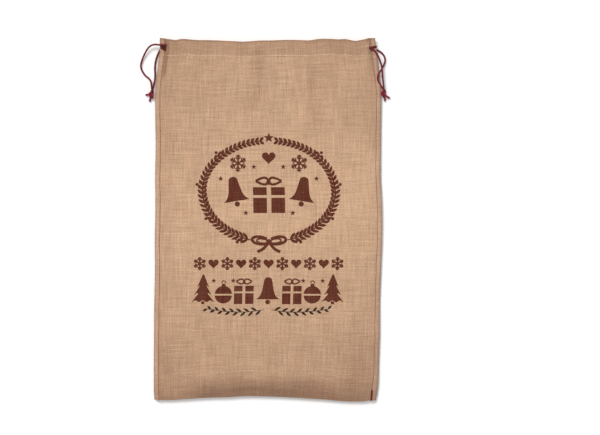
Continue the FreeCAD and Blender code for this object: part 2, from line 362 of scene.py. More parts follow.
def painted_shade_of_cloth(x, y):
    """Share of full colour, up to 1, as painted shade: darker where the cloth turns from the light
    and in its creases.

    One minus the sum of soft bands: away from the middle, towards the bottom, in the upper left
    and upper right, along the left side, the bottom fold, the casing, the mouth's edge, the hollow
    inside the upper left seam, two pleats under the casing, a crease near the bottom, and faint
    patches near the bottom corners; the band along the right side is taken off, a painted light.
    It never falls below the shade of a deep crease.
    """
    left_seam = -seam_x(y)
    by_left_side = ease((-0.185 - x) / 0.040)
    by_right_side = ease((x - 0.180) / 0.040)
    # each band is painted shade, except the one along the right side, which is painted light
    dark = (0.385 * ease((-0.338 - y) / 0.060) * (1 - 0.55 * bump(np.abs(x), 0.21, 0.06))
            + 0.055 * ease((-0.215 - y) / 0.10)
            + 0.030 * ease((y + 0.04) / 0.10) * ease((-0.08 - x) / 0.08)
            + 0.040 * ease((y - 0.12) / 0.10) * ease((x - 0.08) / 0.08)
            + 0.035 + 0.097 * (1 - bump(y, 0.045, 0.16))
            + by_left_side * (0.085 - 0.060 * ease((-0.31 - y) / 0.06))
            - by_right_side * 0.060 * bump(y, 0.07, 0.17)
            + 0.11 * ease((y - STITCH_Y - 0.002) / 0.006)
            + 0.24 * ease((y - MOUTH_Y + 0.006) / 0.005)
            + 0.42 * bump(x - left_seam, 0.0050, 0.0050) * ease((y - 0.300) / 0.045)
            + 0.12 * bump(x, -0.022 + 0.10 * (y - 0.318), 0.013) * bump(y, 0.325, 0.055)
            + 0.10 * bump(x, 0.097 - 0.05 * (y - 0.300), 0.013) * bump(y, 0.310, 0.065)
            + 0.06 * bump(x, -0.225, 0.022) * bump(y, -0.330, 0.080)
            + 0.12 * bump(x, 0.200, 0.045) * bump(y, -0.330, 0.085)
            + 0.10 * bump(x, 0.095, 0.030) * bump(y, -0.362, 0.012))
    return np.clip(1.0 - dark, DEEPEST_SHADE, 1.0)


print("shade in the middle:", round(float(painted_shade_of_cloth(0.0, 0.0)), 3))

# %% Front and side flanges
FRONT_REACH, BACK_REACH, MOUTH_REACH, FOLD_REACH = 0.052, 0.048, 0.016, 0.062


def swell(x, y, side_reach=FRONT_REACH):
    """How far a point has risen from the seams to the flat, 0 to 1: a parabola up from the side
    seam over side_reach, less near the mouth, times another up from the fold."""
    reach = side_reach + (MOUTH_REACH - side_reach) * ease((y - 0.26) / 0.11)
    return dome((seam_x(y) - np.abs(x)) / reach) * dome((y - FOLD_Y) / FOLD_REACH)


def front_z(x, y):
    """Height of the outer face of the front: seam plane + one layer + (rise + relief) x swell.
    It settles by up to 1.6 mm towards the bottom and dips where the stitches pull it down."""
    rise = TOP_Z - SEAM_Z - CLOTH
    up = swell(x, y)
    settle = 1.6 * MM * ease((-0.12 - y) / 0.26)
    dip = 0.15 * MM * bump(y, STITCH_ROW_Y, 0.003)
    return SEAM_Z + CLOTH + (rise + relief(x, y) - settle - dip) * up


def front_point(x, y, lift=0.0):
    """Point on the front, lift above it, as an array with a last axis of 3."""
    x, y = np.broadcast_arrays(np.asarray(x, float), np.asarray(y, float))
    wx, wy = warp(x, y)
    return np.stack([wx, wy, front_z(x, y) + lift], axis=-1)


def flange_wave(y, side):
    """The free edge of the seam allowance lifts and dips a little as it goes."""
    return MM * (0.5 * np.sin(19.0 * y + 2.0 * side) + 0.35 * np.sin(47.0 * y + side))


def flange_point(out, y, side, lift=0.0):
    """Point on the upper face of a side flange, out metres outside the side seam: level with
    the seam plane, less a droop that grows as the 1.7th power of the way out."""
    out, y = np.broadcast_arrays(np.asarray(out, float), np.asarray(y, float))
    wx, wy = warp(side * (seam_x(y) + out), y)
    share = np.clip(out / FLANGE, 0.0, None)
    droop = 4.6 * MM * (1 - 0.85 * ease((y - 0.340) / 0.030))
    z = SEAM_Z + CLOTH + flange_wave(y, side) * share - droop * share**1.7
    return np.stack([wx, wy, z + lift], axis=-1)


print("front, middle:", front_point(0.0, 0.0), "corner:", front_point(0.238, -0.4))

# %% [markdown]
# ## Mesh tools
#
# Cloth is thin but not flat like paper: its cut edges show two faces and a rim.  A Solidify
# modifier could thicken a plane, but here the casings have to close round themselves and the
# seams have to meet, so the thickness is worked out.  A piece of cloth is a grid of points, its
# second face lies one thickness inside, along the grid's normals, and a rim closes the edges.
# Cord and thread are rings of points carried along a line.


# %% Mesh tools
def new_mesh(name, points, faces, uvs=None, normals=None, tones=None, smooth=True):
    """Mesh object from arrays: points (n, 3), faces (m, 3 or 4), and per point uvs, normals and
    painted shades, kept as the attribute tone."""
    mesh = bpy.data.meshes.new(name)
    points = np.asarray(points, float).reshape(-1, 3)
    faces = np.asarray(faces, int)
    mesh.vertices.add(len(points))
    mesh.vertices.foreach_set("co", points.ravel())
    mesh.loops.add(faces.size)
    mesh.loops.foreach_set("vertex_index", faces.ravel())
    mesh.polygons.add(len(faces))
    mesh.polygons.foreach_set("loop_start", np.arange(0, faces.size, faces.shape[1]))
    mesh.polygons.foreach_set("loop_total", np.full(len(faces), faces.shape[1]))
    mesh.update(calc_edges=True)
    mesh.polygons.foreach_set("use_smooth", np.full(len(faces), smooth))
    if uvs is not None:
        layer = mesh.uv_layers.new(name="UVMap")
        layer.data.foreach_set("uv", np.asarray(uvs, float).reshape(-1, 2)[faces.ravel()].ravel())
    # the attribute tone holds painted shade, a share of full colour
    if tones is not None:
        layer = mesh.attributes.new("tone", "FLOAT", "POINT")
        layer.data.foreach_set("value", np.asarray(tones, float).ravel())
    mesh.validate()
    if normals is not None:
        mesh.normals_split_custom_set_from_vertices(np.asarray(normals, float).reshape(-1, 3))
    piece = bpy.data.objects.new(name, mesh)
    bpy.context.scene.collection.objects.link(piece)
    return piece


print("new_mesh is ready")


# %% Cloth as a grid
def grid_faces(rows, columns, start=0, wrap=False, flip=False):
    """Quads of a rows x columns grid of points.  wrap joins the last row to the first."""
    i, j = np.meshgrid(np.arange(rows if wrap else rows - 1), np.arange(columns - 1),
                       indexing="ij")
    a = i * columns + j
    b = a + 1
    d = ((i + 1) % rows) * columns + j
    faces = np.stack([a, b, d + 1, d], axis=-1).reshape(-1, 4) + start
    return faces[:, ::-1] if flip else faces


def grid_normals(points, wrap=False):
    """Unit normals of a (rows, columns, 3) grid: cross product of the central differences."""
    down = (np.roll(points, -1, 0) - np.roll(points, 1, 0)) if wrap else np.gradient(points, axis=0)
    across = np.gradient(points, axis=1)
    n = np.cross(across, down)
    return n / np.maximum(np.linalg.norm(n, axis=-1, keepdims=True), 1e-12)


def shell(name, points, normals, uvs, tones, thickness, wrap=False):
    """Closed sheet of cloth: the grid, the grid's points less thickness times their normals as
    its other face, and the rims between them.  wrap joins the grid's first and last rows."""
    rows, columns = points.shape[:2]
    count = rows * columns
    inner = points - normals * thickness
    index = np.arange(count).reshape(rows, columns)
    i, j = rows // 3, columns // 2
    turned = np.cross(points[i, j + 1] - points[i, j], points[i + 1, j] - points[i, j])
    # grid_faces goes across and then down, so its faces look along across x down
    agrees = float(np.dot(turned, normals[i, j])) > 0

    def rim(line, flip):
        a, b = line[:-1], line[1:]
        quads = np.stack([a, b, b + count, a + count], axis=-1)
        return quads[:, ::-1] if flip == agrees else quads

    faces = [grid_faces(rows, columns, wrap=wrap, flip=not agrees),
             grid_faces(rows, columns, start=count, wrap=wrap, flip=agrees)]
    first, last = index[:, 0], index[:, -1]
    if wrap:
        first, last = np.append(first, first[0]), np.append(last, last[0])
    else:
        faces += [rim(index[0], False), rim(index[-1], True)]
    faces += [rim(first, True), rim(last, False)]
    return new_mesh(name, np.concatenate([points.reshape(-1, 3), inner.reshape(-1, 3)]),
                    np.concatenate(faces), np.concatenate([uvs.reshape(-1, 2)] * 2),
                    np.concatenate([normals.reshape(-1, 3), -normals.reshape(-1, 3)]),
                    np.concatenate([tones.ravel()] * 2))


print("a grid of 3 by 3 points has", len(grid_faces(3, 3)), "faces")


# %% Tubes along a line
def lengths_along(points):
    """Distance walked from the first point to each point of a line."""
    steps = np.linalg.norm(np.diff(points, axis=0), axis=-1)
    return np.concatenate([[0.0], np.cumsum(steps)])


def tube(name, line, radius, sides=20, relief=None, flare=0.0):
    """Closed tube along a line of points.

    Point = line + (radius + relief(s, angle)) * (cos angle * e1 + sin angle * e2), where e1 and
    e2 are carried along the line without twist.  The last stretch widens by flare.  The uv map
    holds the length along and the way round.
    """
    line = np.asarray(line, float)
    s = lengths_along(line)
    tangent = np.gradient(line, s, axis=0)
    tangent /= np.linalg.norm(tangent, axis=1, keepdims=True)
    side = np.cross(tangent[0], [0.0, 0.0, 1.0])
    if np.linalg.norm(side) < 1e-3:
        side = np.cross(tangent[0], [0.0, 1.0, 0.0])
    sides_at = []
    for t in tangent:
        side = side - t * np.dot(side, t)
        side = side / np.linalg.norm(side)
        sides_at.append(side)
    e1 = np.array(sides_at)
    e2 = np.cross(tangent, e1)
    angle = np.linspace(0, 2 * np.pi, sides, endpoint=False)
    r = np.full((len(line), sides), radius)
    if relief is not None:
        r = r + relief(s[:, None], angle[None, :])
    r = r + flare * ease((s[:, None] - s[-1] + 4 * radius) / (4 * radius)) ** 2
    ring = (np.cos(angle)[None, :, None] * e1[:, None, :]
            + np.sin(angle)[None, :, None] * e2[:, None, :])
    body = line[:, None, :] + r[..., None] * ring
    n = len(line) * sides
    caps = np.array([line[0] - tangent[0] * radius * 0.15, line[-1] + tangent[-1] * radius * 0.15])
    points = np.concatenate([body.reshape(-1, 3), caps])
    i, j = np.meshgrid(np.arange(len(line) - 1), np.arange(sides), indexing="ij")
    a = i * sides + j
    b = i * sides + (j + 1) % sides
    quads = np.stack([a, b, b + sides, a + sides], axis=-1).reshape(-1, 4)
    j = np.arange(sides)
    k = (j + 1) % sides
    start = np.stack([np.full(sides, n), k, j], axis=-1)
    end = np.stack([np.full(sides, n + 1), n - sides + j, n - sides + k], axis=-1)
    triangles = np.concatenate([quads[:, [0, 1, 2]], quads[:, [0, 2, 3]], start, end])
    uv = np.stack(np.broadcast_arrays(s[:, None], (angle * radius)[None, :]), axis=-1)
    uv = np.concatenate([uv.reshape(-1, 2), [[0, 0], [s[-1], 0]]])
    return new_mesh(name, points, triangles, uv)


print("tube is ready")

# %% Stitches as one mesh
SINK = 0.35         # how far the ends of a stitch lie below the cloth, in radii


def stitches(name, centres, along, up, length, radius):
    """A row of stitches as one mesh: each is a short bowed thread whose ends dive into the cloth.

    Point = centre + along·length·t + up·radius·(0.8·bow(t) + thin(t)·sin a)
    + side·radius·thin(t)·cos a for t from -1/2 to 1/2.  bow(t) is a parabola from 1 in the middle
    to -SINK at both ends, and thin(t) = √(1 - (2t)⁶) narrows the thread there.
    """
    centres, along, up = (np.asarray(v, float) for v in (centres, along, up))
    along = along / np.linalg.norm(along, axis=-1, keepdims=True)
    side = np.cross(along, up)
    side /= np.linalg.norm(side, axis=-1, keepdims=True)
    t = np.linspace(-0.5, 0.5, 7)
    a = np.linspace(0, 2 * np.pi, 8, endpoint=False)
    thin = np.sqrt(np.clip(1 - (2 * t) ** 6, 0.04, 1))
    bow = (1 - 4 * t**2) * (1 + SINK) - SINK
    lift = radius * (bow[:, None] * 0.8 + thin[:, None] * np.sin(a))
    shape = (len(centres), len(t), len(a), 3)
    points = np.broadcast_to(centres[:, None, None, :], shape).copy()
    points += along[:, None, None, :] * (length * t)[None, :, None, None]
    points += up[:, None, None, :] * lift[None, :, :, None]
    points += side[:, None, None, :] * (radius * thin[:, None] * np.cos(a))[None, :, :, None]
    rings, sides = len(t), len(a)
    i, j = np.meshgrid(np.arange(rings - 1), np.arange(sides), indexing="ij")
    q = np.stack([i * sides + j, i * sides + (j + 1) % sides,
                  (i + 1) * sides + (j + 1) % sides, (i + 1) * sides + j], axis=-1).reshape(-1, 4)
    fan = np.array([[0, 1, 2, 3], [0, 3, 4, 5], [0, 5, 6, 7]])
    q = np.concatenate([q, fan[:, ::-1], fan + (rings - 1) * sides])[:, ::-1]
    faces = (q[None] + (np.arange(len(centres)) * rings * sides)[:, None, None]).reshape(-1, 4)
    uv = np.stack(np.broadcast_arrays(
        (lengths_along(centres)[:, None, None] + (length * t)[None, :, None]),
        (a * radius)[None, None, :]), axis=-1)
    return new_mesh(name, points, faces, uv)


print("the ends of a stitch lie", SINK, "radii below the cloth")

# %% [markdown]
# ## Materials
#
# Jute is a plain weave of thick, uneven yarn.  Modelling each thread would take millions of
# faces, and an image would repeat or blur close up, so the weave is a node material.  It is
# drawn from the cloth's own uv map, which holds metres on the flat pattern: a sine across each
# set of threads gives their round backs, and the product of both decides which thread is on
# top.  Long thin noise makes the slubs, the thick and thin places of the yarn.


# %% Node helpers
def new_material(name):
    """Empty node material with its output, and a function that adds a linked node."""
    material = bpy.data.materials.new(name)
    material.use_nodes = True
    tree = material.node_tree
    tree.nodes.clear()

    def node(kind, *inputs, out=0, **settings):
        n = tree.nodes.new(kind)
        for key, value in settings.items():
            setattr(n, key, value)
        for where, value in enumerate(inputs):
            link_or_set(n, where, value)
        return n.outputs[out]

    def link_or_set(n, where, value):
        if value is None:
            return
        socket = n.inputs[where]
        if isinstance(value, bpy.types.NodeSocket):
            tree.links.new(value, socket)
        else:
            socket.default_value = value

    node.tree = tree
    node.set = link_or_set
    return material, node


print("new_material is ready")


# %% Arithmetic and noise as nodes
def maths(node, operation, a, b=None, c=None, clamp=False):
    """One step of arithmetic.  MULTIPLY_ADD is a times b plus c."""
    return node("ShaderNodeMath", a, b, c, operation=operation, use_clamp=clamp)


def mix_value(node, factor, a, b):
    """a where the factor is 0, b where it is 1."""
    n = node.tree.nodes.new("ShaderNodeMix")
    for where, value in ((0, factor), (2, a), (3, b)):
        node.set(n, where, value)
    return n.outputs[0]


def mix_colour(node, factor, a, b, blend="MIX"):
    """The same for two colours.  With blend MULTIPLY, a times b in place of b."""
    n = node.tree.nodes.new("ShaderNodeMix")
    n.data_type = "RGBA"
    n.blend_type = blend
    for where, value in ((0, factor), (6, a), (7, b)):
        node.set(n, where, value)
    return n.outputs[2]


def times(node, colour, shade):
    """The colour multiplied by one number."""
    return mix_colour(node, 1.0, colour, node("ShaderNodeCombineColor", shade, shade, shade),
                      "MULTIPLY")


def noise(node, vector, scale, detail=2.0):
    """Soft random patches, scale of them to the unit, as a number near 0.5."""
    n = node.tree.nodes.new("ShaderNodeTexNoise")
    node.set(n, n.inputs.find("Vector"), vector)
    n.inputs["Scale"].default_value = scale
    n.inputs["Detail"].default_value = detail
    return n.outputs["Fac"]


def split_uv(node):
    """The uv map, and its two numbers apart."""
    uv = node("ShaderNodeUVMap", uv_map="UVMap")
    split = node.tree.nodes.new("ShaderNodeSeparateXYZ")
    node.set(split, 0, uv)
    return uv, split.outputs[0], split.outputs[1]


def stretch(node, vector, factors):
    """The vector times three factors: the higher the factor, the finer the pattern that way."""
    return node("ShaderNodeVectorMath", vector, factors, operation="MULTIPLY")


def remap(node, value, low, high, to_low, to_high):
    """Straight line from to_low at low to to_high at high, held level outside them."""
    n = node.tree.nodes.new("ShaderNodeMapRange")
    for where, v in enumerate((value, low, high, to_low, to_high)):
        node.set(n, where, v)
    return n.outputs[0]


print("node arithmetic is ready")

# %% Surface and colour
WHITE = (1.0, 1.0, 1.0, 1.0)


def finish_surface(node, colour, roughness, height, distance, specular, sheen=0.0,
                   sheen_tint=WHITE):
    """Principled shader with a bump from height, given in units of distance metres."""
    tree = node.tree
    shader = tree.nodes.new("ShaderNodeBsdfPrincipled")
    node.set(shader, shader.inputs.find("Base Color"), colour)
    node.set(shader, shader.inputs.find("Roughness"), roughness)
    shader.inputs["Specular IOR Level"].default_value = specular
    shader.inputs["Sheen Weight"].default_value = sheen
    shader.inputs["Sheen Roughness"].default_value = 0.5
    shader.inputs["Sheen Tint"].default_value = sheen_tint
    if height is not None:
        bump_node = tree.nodes.new("ShaderNodeBump")
        bump_node.inputs["Strength"].default_value = 1.0
        bump_node.inputs["Distance"].default_value = distance
        node.set(bump_node, bump_node.inputs.find("Height"), height)
        tree.links.new(bump_node.outputs[0], shader.inputs["Normal"])
    out = tree.nodes.new("ShaderNodeOutputMaterial")
    tree.links.new(shader.outputs[0], out.inputs[0])
    return shader


def srgb(r, g, b):
    """Linear colour of an 8-bit display colour: ((c/255 + 0.055) / 1.055)^2.4 above the toe."""
    c = np.array([r, g, b]) / 255.0
    linear = np.where(c <= 0.04045, c / 12.92, ((c + 0.055) / 1.055) ** 2.4)
    return (*linear.tolist(), 1.0)


print("full white of a display is", srgb(255, 255, 255))

# %% Woven cloth
PITCH = 0.0021     # from one thread of the weave to the next
WANDER = 2.4       # how far a thread strays from its straight line, in threads


def weave(node):
    """The plain weave, as (height 0..1, slub tone, uv).

    The back of each thread is |sin(π·place / PITCH)|^0.6 times its slub; where the product of
    both sets' sines is above zero the warp lies on top, and below zero the weft.
    """
    uv, across, along = split_uv(node)
    wander = noise(node, uv, 55.0, detail=3.0)
    wander_2 = noise(node, stretch(node, uv, (1.0, -1.0, 1.0)), 62.0, detail=3.0)
    sines, slubs, backs = [], [], []
    for place, stray, grain in ((across, wander, (520.0, 15.0, 1.0)),
                                (along, wander_2, (13.0, 520.0, 1.0))):
        count = maths(node, "MULTIPLY_ADD", place, 1.0 / PITCH,
                      maths(node, "MULTIPLY", stray, WANDER))
        sine = maths(node, "SINE", maths(node, "MULTIPLY", count, math.pi))
        slub = noise(node, stretch(node, uv, grain), 1.0)
        round_back = maths(node, "POWER", maths(node, "ABSOLUTE", sine), 0.6)
        sines.append(sine)
        slubs.append(slub)
        backs.append(maths(node, "MULTIPLY", round_back, remap(node, slub, 0.3, 0.7, 0.75, 1.1)))
    over = maths(node, "MULTIPLY_ADD", maths(node, "MULTIPLY", *sines), 1.6, 0.5, clamp=True)
    height, tone = (mix_value(node, over, weft, warp_) for warp_, weft in (backs, slubs))
    return height, tone, uv


def jute(name, base, dark, light):
    """Jute cloth: slub colours between dark and light, fuzz, and painted shade: dark pinholes and
    dips between the threads, and the mesh's tone attribute.
    """
    material, node = new_material(name)
    height, slub, uv = weave(node)
    tone = mix_colour(node, remap(node, slub, 0.30, 0.70, 0.0, 1.0), dark, light)
    tone = mix_colour(node, 0.35, tone, base)
    for factors, detail, low, high in (((210.0, 20.0, 1.0), 3.0, 0.93, 1.06),
                                       ((20.0, 230.0, 1.0), 3.0, 0.93, 1.06),
                                       ((24.0, 17.0, 1.0), 3.0, 0.94, 1.05),
                                       ((330.0, 300.0, 1.0), 2.0, 0.89, 1.10)):
        spread = noise(node, stretch(node, uv, factors), 1.0, detail=detail)
        tone = times(node, tone, remap(node, spread, 0.32, 0.68, low, high))
    warm = noise(node, uv, 14.0)
    tone = mix_colour(node, remap(node, warm, 0.35, 0.65, 0.0, 0.35), tone,
                      mix_colour(node, 1.0, tone, (1.03, 0.985, 0.985, 1.0), "MULTIPLY"))
    # painted shade: darker where the threads dip, down to 0.45 of full colour in the pinholes
    tone = times(node, tone, remap(node, height, 0.12, 0.62, 0.45, 1.0))
    # painted shade from the mesh's tone attribute, a little deeper in green and blue
    mesh_painted_shade = node("ShaderNodeAttribute", attribute_name="tone", out=2)
    deep = maths(node, "POWER", mesh_painted_shade, 1.16)
    tone = mix_colour(node, 1.0, tone, node("ShaderNodeCombineColor", mesh_painted_shade, deep, deep),
                      "MULTIPLY")
    fibre = noise(node, uv, 1500.0, detail=3.0)
    rough = remap(node, fibre, 0.3, 0.7, 0.82, 0.98)
    surface = maths(node, "MULTIPLY_ADD", fibre, 0.35, height)
    finish_surface(node, tone, rough, surface, 0.00035, specular=0.12, sheen=0.12,
                   sheen_tint=(1.0, 0.86, 0.7, 1.0))
    return material


CLOTH_BASE = srgb(220, 180, 146)
jute_cloth = jute("jute_cloth", CLOTH_BASE, srgb(194, 151, 117), srgb(242, 208, 175))
flange_cloth = jute("jute_flange", srgb(217, 178, 148), srgb(192, 151, 119), srgb(235, 203, 175))
print("cloth threads are", PITCH / MM, "mm apart")


# %% Ink on cloth
def ink(name, colour, worn):
    """Printing ink: it sits on the backs of the threads and misses some of the hollows."""
    material, node = new_material(name)
    height, slub, uv = weave(node)
    patch = noise(node, uv, 300.0, detail=3.0)
    miss = maths(node, "MULTIPLY", remap(node, height, 0.05, 0.30, 1.0, 0.0),
                 remap(node, patch, 0.45, 0.65, 0.1, 0.9), clamp=True)
    tone = mix_colour(node, remap(node, slub, 0.35, 0.7, 0.0, 0.12), colour, CLOTH_BASE)
    tone = mix_colour(node, maths(node, "MULTIPLY", miss, worn), tone, CLOTH_BASE)
    finish_surface(node, tone, 0.85, height, 0.0003, specular=0.12)
    return material


brown_ink = ink("brown_ink", srgb(86, 28, 14), 0.45)
black_ink = ink("black_ink", srgb(22, 14, 14), 0.45)
print("inks:", brown_ink.name, black_ink.name)


# %% Cord and thread
STRAND_PITCH = 0.0011      # from one strand of the braid to the next
TWIST_PITCH = 0.0006       # from one turn of a sewing thread to the next


def braided(name, colour, dark):
    """Braided cord: two sets of strands cross at a slant, |sin k(s + r)·sin k(s - r)| of the
    length along, s, and the way round, r."""
    material, node = new_material(name)
    uv, along, way_round = split_uv(node)
    strands = [maths(node, "SINE", maths(node, "MULTIPLY", maths(node, how, along, way_round),
                                         math.pi / STRAND_PITCH))
               for how in ("ADD", "SUBTRACT")]
    height = maths(node, "ABSOLUTE", maths(node, "MULTIPLY", *strands))
    fuzz = noise(node, uv, 2600.0, detail=3.0)
    # painted shade: the dark colour fills the hollows between the strands
    tone = mix_colour(node, remap(node, height, 0.0, 0.55, 0.0, 1.0), dark, colour)
    tone = times(node, tone, remap(node, noise(node, uv, 90.0), 0.3, 0.7, 0.8, 1.2))
    surface = maths(node, "MULTIPLY_ADD", fuzz, 0.4, height)
    finish_surface(node, tone, 0.7, surface, 0.00022, specular=0.25, sheen=0.25,
                   sheen_tint=(1.0, 0.55, 0.55, 1.0))
    return material


def thread(name, colour, dark):
    """Sewing thread: a fine twist along the stitch, one sine of the length plus 0.8 of the way
    round."""
    material, node = new_material(name)
    uv, along, way_round = split_uv(node)
    slant = maths(node, "MULTIPLY_ADD", way_round, 0.8, along)
    twist = maths(node, "SINE", maths(node, "MULTIPLY", slant, 2 * math.pi / TWIST_PITCH))
    # painted shade: the dark colour lies in the grooves of the twist
    tone = mix_colour(node, remap(node, twist, -1.0, 0.6, 0.0, 1.0), dark, colour)
    tone = times(node, tone, remap(node, noise(node, uv, 220.0), 0.3, 0.7, 0.75, 1.2))
    finish_surface(node, tone, 0.6, twist, 0.0001, specular=0.3, sheen=0.1)
    return material


burgundy = braided("burgundy_cord", srgb(138, 31, 45), srgb(73, 14, 23))
# the knot and its tails take a lighter, redder copy of the cord's finish: painted light on the same cord
burgundy_knot = braided("burgundy_knot", srgb(156, 28, 52), srgb(88, 14, 28))
rust_thread = thread("rust_thread", srgb(168, 88, 62), srgb(128, 60, 42))
red_thread = thread("red_thread", srgb(134, 34, 34), srgb(78, 16, 14))
jute_thread = thread("jute_thread", srgb(250, 222, 192), srgb(232, 200, 168))
print("materials:", len(bpy.data.materials))

# %% [markdown]
# ## Cloth
#
# The sack is one length of cloth, folded at the bottom.  Front, fold and back could be three
# meshes butted together, but a join would show along the fold, so they are one grid, wrapped
# round it.  The grid is cut along the middle into two pieces, because its left half follows the
# left corner of the mouth when the cords are drawn, and its right half the right corner.

# %% Which way the gather goes
NAMES = {-1: "left", 1: "right"}
GATHER_START = (0.0, MOUTH_Y, SEAM_Z)
GATHER_END = {side: (side * 0.0975, MOUTH_Y + 0.1218, SEAM_Z) for side in NAMES}


def follow_corner(piece, side):
    """The piece keeps to the sack below a slanting line and follows its mouth corner above it."""
    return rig.blend(piece, "sack", f"{NAMES[side]}_corner", GATHER_START, GATHER_END[side])


def dress(piece, material, slot_name):
    """Gives the piece its finish, and names the slot of the record that it belongs to."""
    piece.data.materials.append(material)
    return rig.slot(piece, slot_name)


print("gather runs from", GATHER_START, "to", GATHER_END[1])

# %% Front, fold and back
# stations from the middle to the side seam, closer together where the cloth falls to the seam
RUN = np.concatenate([np.linspace(0, 0.86, 62), np.linspace(0.86, 1, 38)[1:]])
MIDDLE = len(RUN) - 1
columns = np.concatenate([-RUN[:0:-1], RUN])
TUCK = 0.004        # the front runs on under the casing by this much
TURN_Y = FOLD_Y + 0.0024        # the half circle of the fold starts here
front_rows = np.append(STITCH_Y + TUCK, np.linspace(STITCH_Y, TURN_Y, 258))
turn = np.linspace(0.0, np.pi, 11)[1:-1]
back_rows = np.linspace(TURN_Y, STITCH_Y, 130)
# painted shade of the fold's turn and of the back, which lies under the front
FOLD_PAINTED_SHADE, BACK_PAINTED_SHADE = 0.58, 0.8


def back_z(x, y):
    """Height of the outer face of the back, which lies on the surface and rises to the seams:
    rise times (1 - swell), with a product of two sines up to half a millimetre high."""
    rise = SEAM_Z - CLOTH
    up = swell(x, y, BACK_REACH)
    return rise * (1.0 - up) + 0.25 * MM * up * (1 + np.sin(23 * x) * np.sin(17 * y))


def cloth_grid(rows_y, part):
    """Rows of points of one part of the cloth, front or back: each row runs from seam to seam
    at the columns' shares of seam_x(y)."""
    y = rows_y[:, None]
    x = columns[None, :] * seam_x(y)
    x, y = np.broadcast_arrays(x, y)
    wx, wy = warp(x, y)
    z = front_z(x, y) if part == "front" else back_z(x, y)
    return np.stack([wx, wy, z], axis=-1)


front_part = cloth_grid(front_rows, "front")
back_part = cloth_grid(back_rows, "back")
# the turn: half a circle between the last front row and the first back row
top_row, low_row = front_part[-1], back_part[0]
middle = 0.5 * (top_row + low_row)
radius = 0.5 * (top_row[:, 2] - low_row[:, 2])
turn_part = np.stack([
    middle + np.stack([0 * radius, -radius * np.sin(t), radius * np.cos(t)], -1) for t in turn])
whole = np.concatenate([front_part, turn_part, back_part])
whole_n = grid_normals(whole)
if whole_n[10, MIDDLE, 2] < 0:
    whole_n = -whole_n
v_len = lengths_along(whole[:, MIDDLE]) - TUCK
whole_uv = np.stack(np.broadcast_arrays(
    columns[None, :] * SEAM_X, STITCH_Y - v_len[:, None]), axis=-1)
whole[0, :, 2] -= 0.5 * MM
print("cloth grid:", whole.shape, "length down the middle", round(float(v_len[-1]), 4))

y_of_row = np.concatenate([front_rows, np.full(len(turn), FOLD_Y), back_rows])[:, None]
# painted shade: the front's from painted_shade_of_cloth, the fold and the back at one level each
whole_painted_shade = painted_shade_of_cloth(columns[None, :] * seam_x(y_of_row), y_of_row)
whole_painted_shade[len(front_rows):len(front_rows) + len(turn)] = FOLD_PAINTED_SHADE
whole_painted_shade[len(front_rows) + len(turn):] = BACK_PAINTED_SHADE
cloth = {}
for side, name in NAMES.items():
    part = slice(0, MIDDLE + 1) if side < 0 else slice(MIDDLE, len(columns))
    piece = shell(f"{name}_body_cloth", whole[:, part], whole_n[:, part],
                  whole_uv[:, part], whole_painted_shade[:, part], CLOTH)
    dress(piece, jute_cloth, "jute_cloth")
    cloth[side] = piece
print("body cloth:", [len(p.data.vertices) for p in cloth.values()])

# %% [markdown]
# ## Casings
#
# At the mouth each end of the cloth is turned down and stitched to itself.  That makes a flat
# tunnel, the casing, in which the cords run.  A folded plane would need its layers pulled apart
# by hand; here the tunnel's section is drawn once, as a closed line, and carried from the middle
# of the mouth to each side seam, where it flattens and hugs the cord as far as its slit.


# %% Casings
run_boxes = {side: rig.box(f"{name}_cord_run") for side, name in NAMES.items()}
CORD_Y = {side: 0.5 * (low[1] + high[1]) for side, (low, high) in run_boxes.items()}
CORD_R = 0.5 * (run_boxes[-1][1][1] - run_boxes[-1][0][1])
CORD_Z = {"front": TOP_Z - CASING / 2, "back": CASING / 2}
SLIT = MOUTH_SEAM_X - 0.0035        # where the cord leaves the cloth
HEM = 0.012                         # the turned-under end, flat on the outer layer


def casing_line():
    """Section of a casing, from the stitches over its outer face, round the mouth's edge and
    back inside: (y, depth below the outer face)."""
    r = CASING / 2
    y0, y1 = STITCH_Y, MOUTH_Y - r
    outer = np.stack([np.linspace(y0, y1, 22), np.zeros(22)], -1)
    t = np.linspace(0, np.pi, 16)[1:-1]
    fold = np.stack([y1 + r * np.sin(t), r - r * np.cos(t)], -1)
    inner = np.stack([np.linspace(y1, y0 + HEM, 12), np.full(12, 2 * r)], -1)
    close = np.stack([np.linspace(y0 + HEM, y0, 6)[1:],
                      np.linspace(2 * r, 2 * CLOTH, 6)[1:]], -1)
    return np.concatenate([outer, fold, inner, close])


section = casing_line()
section_s = lengths_along(section)


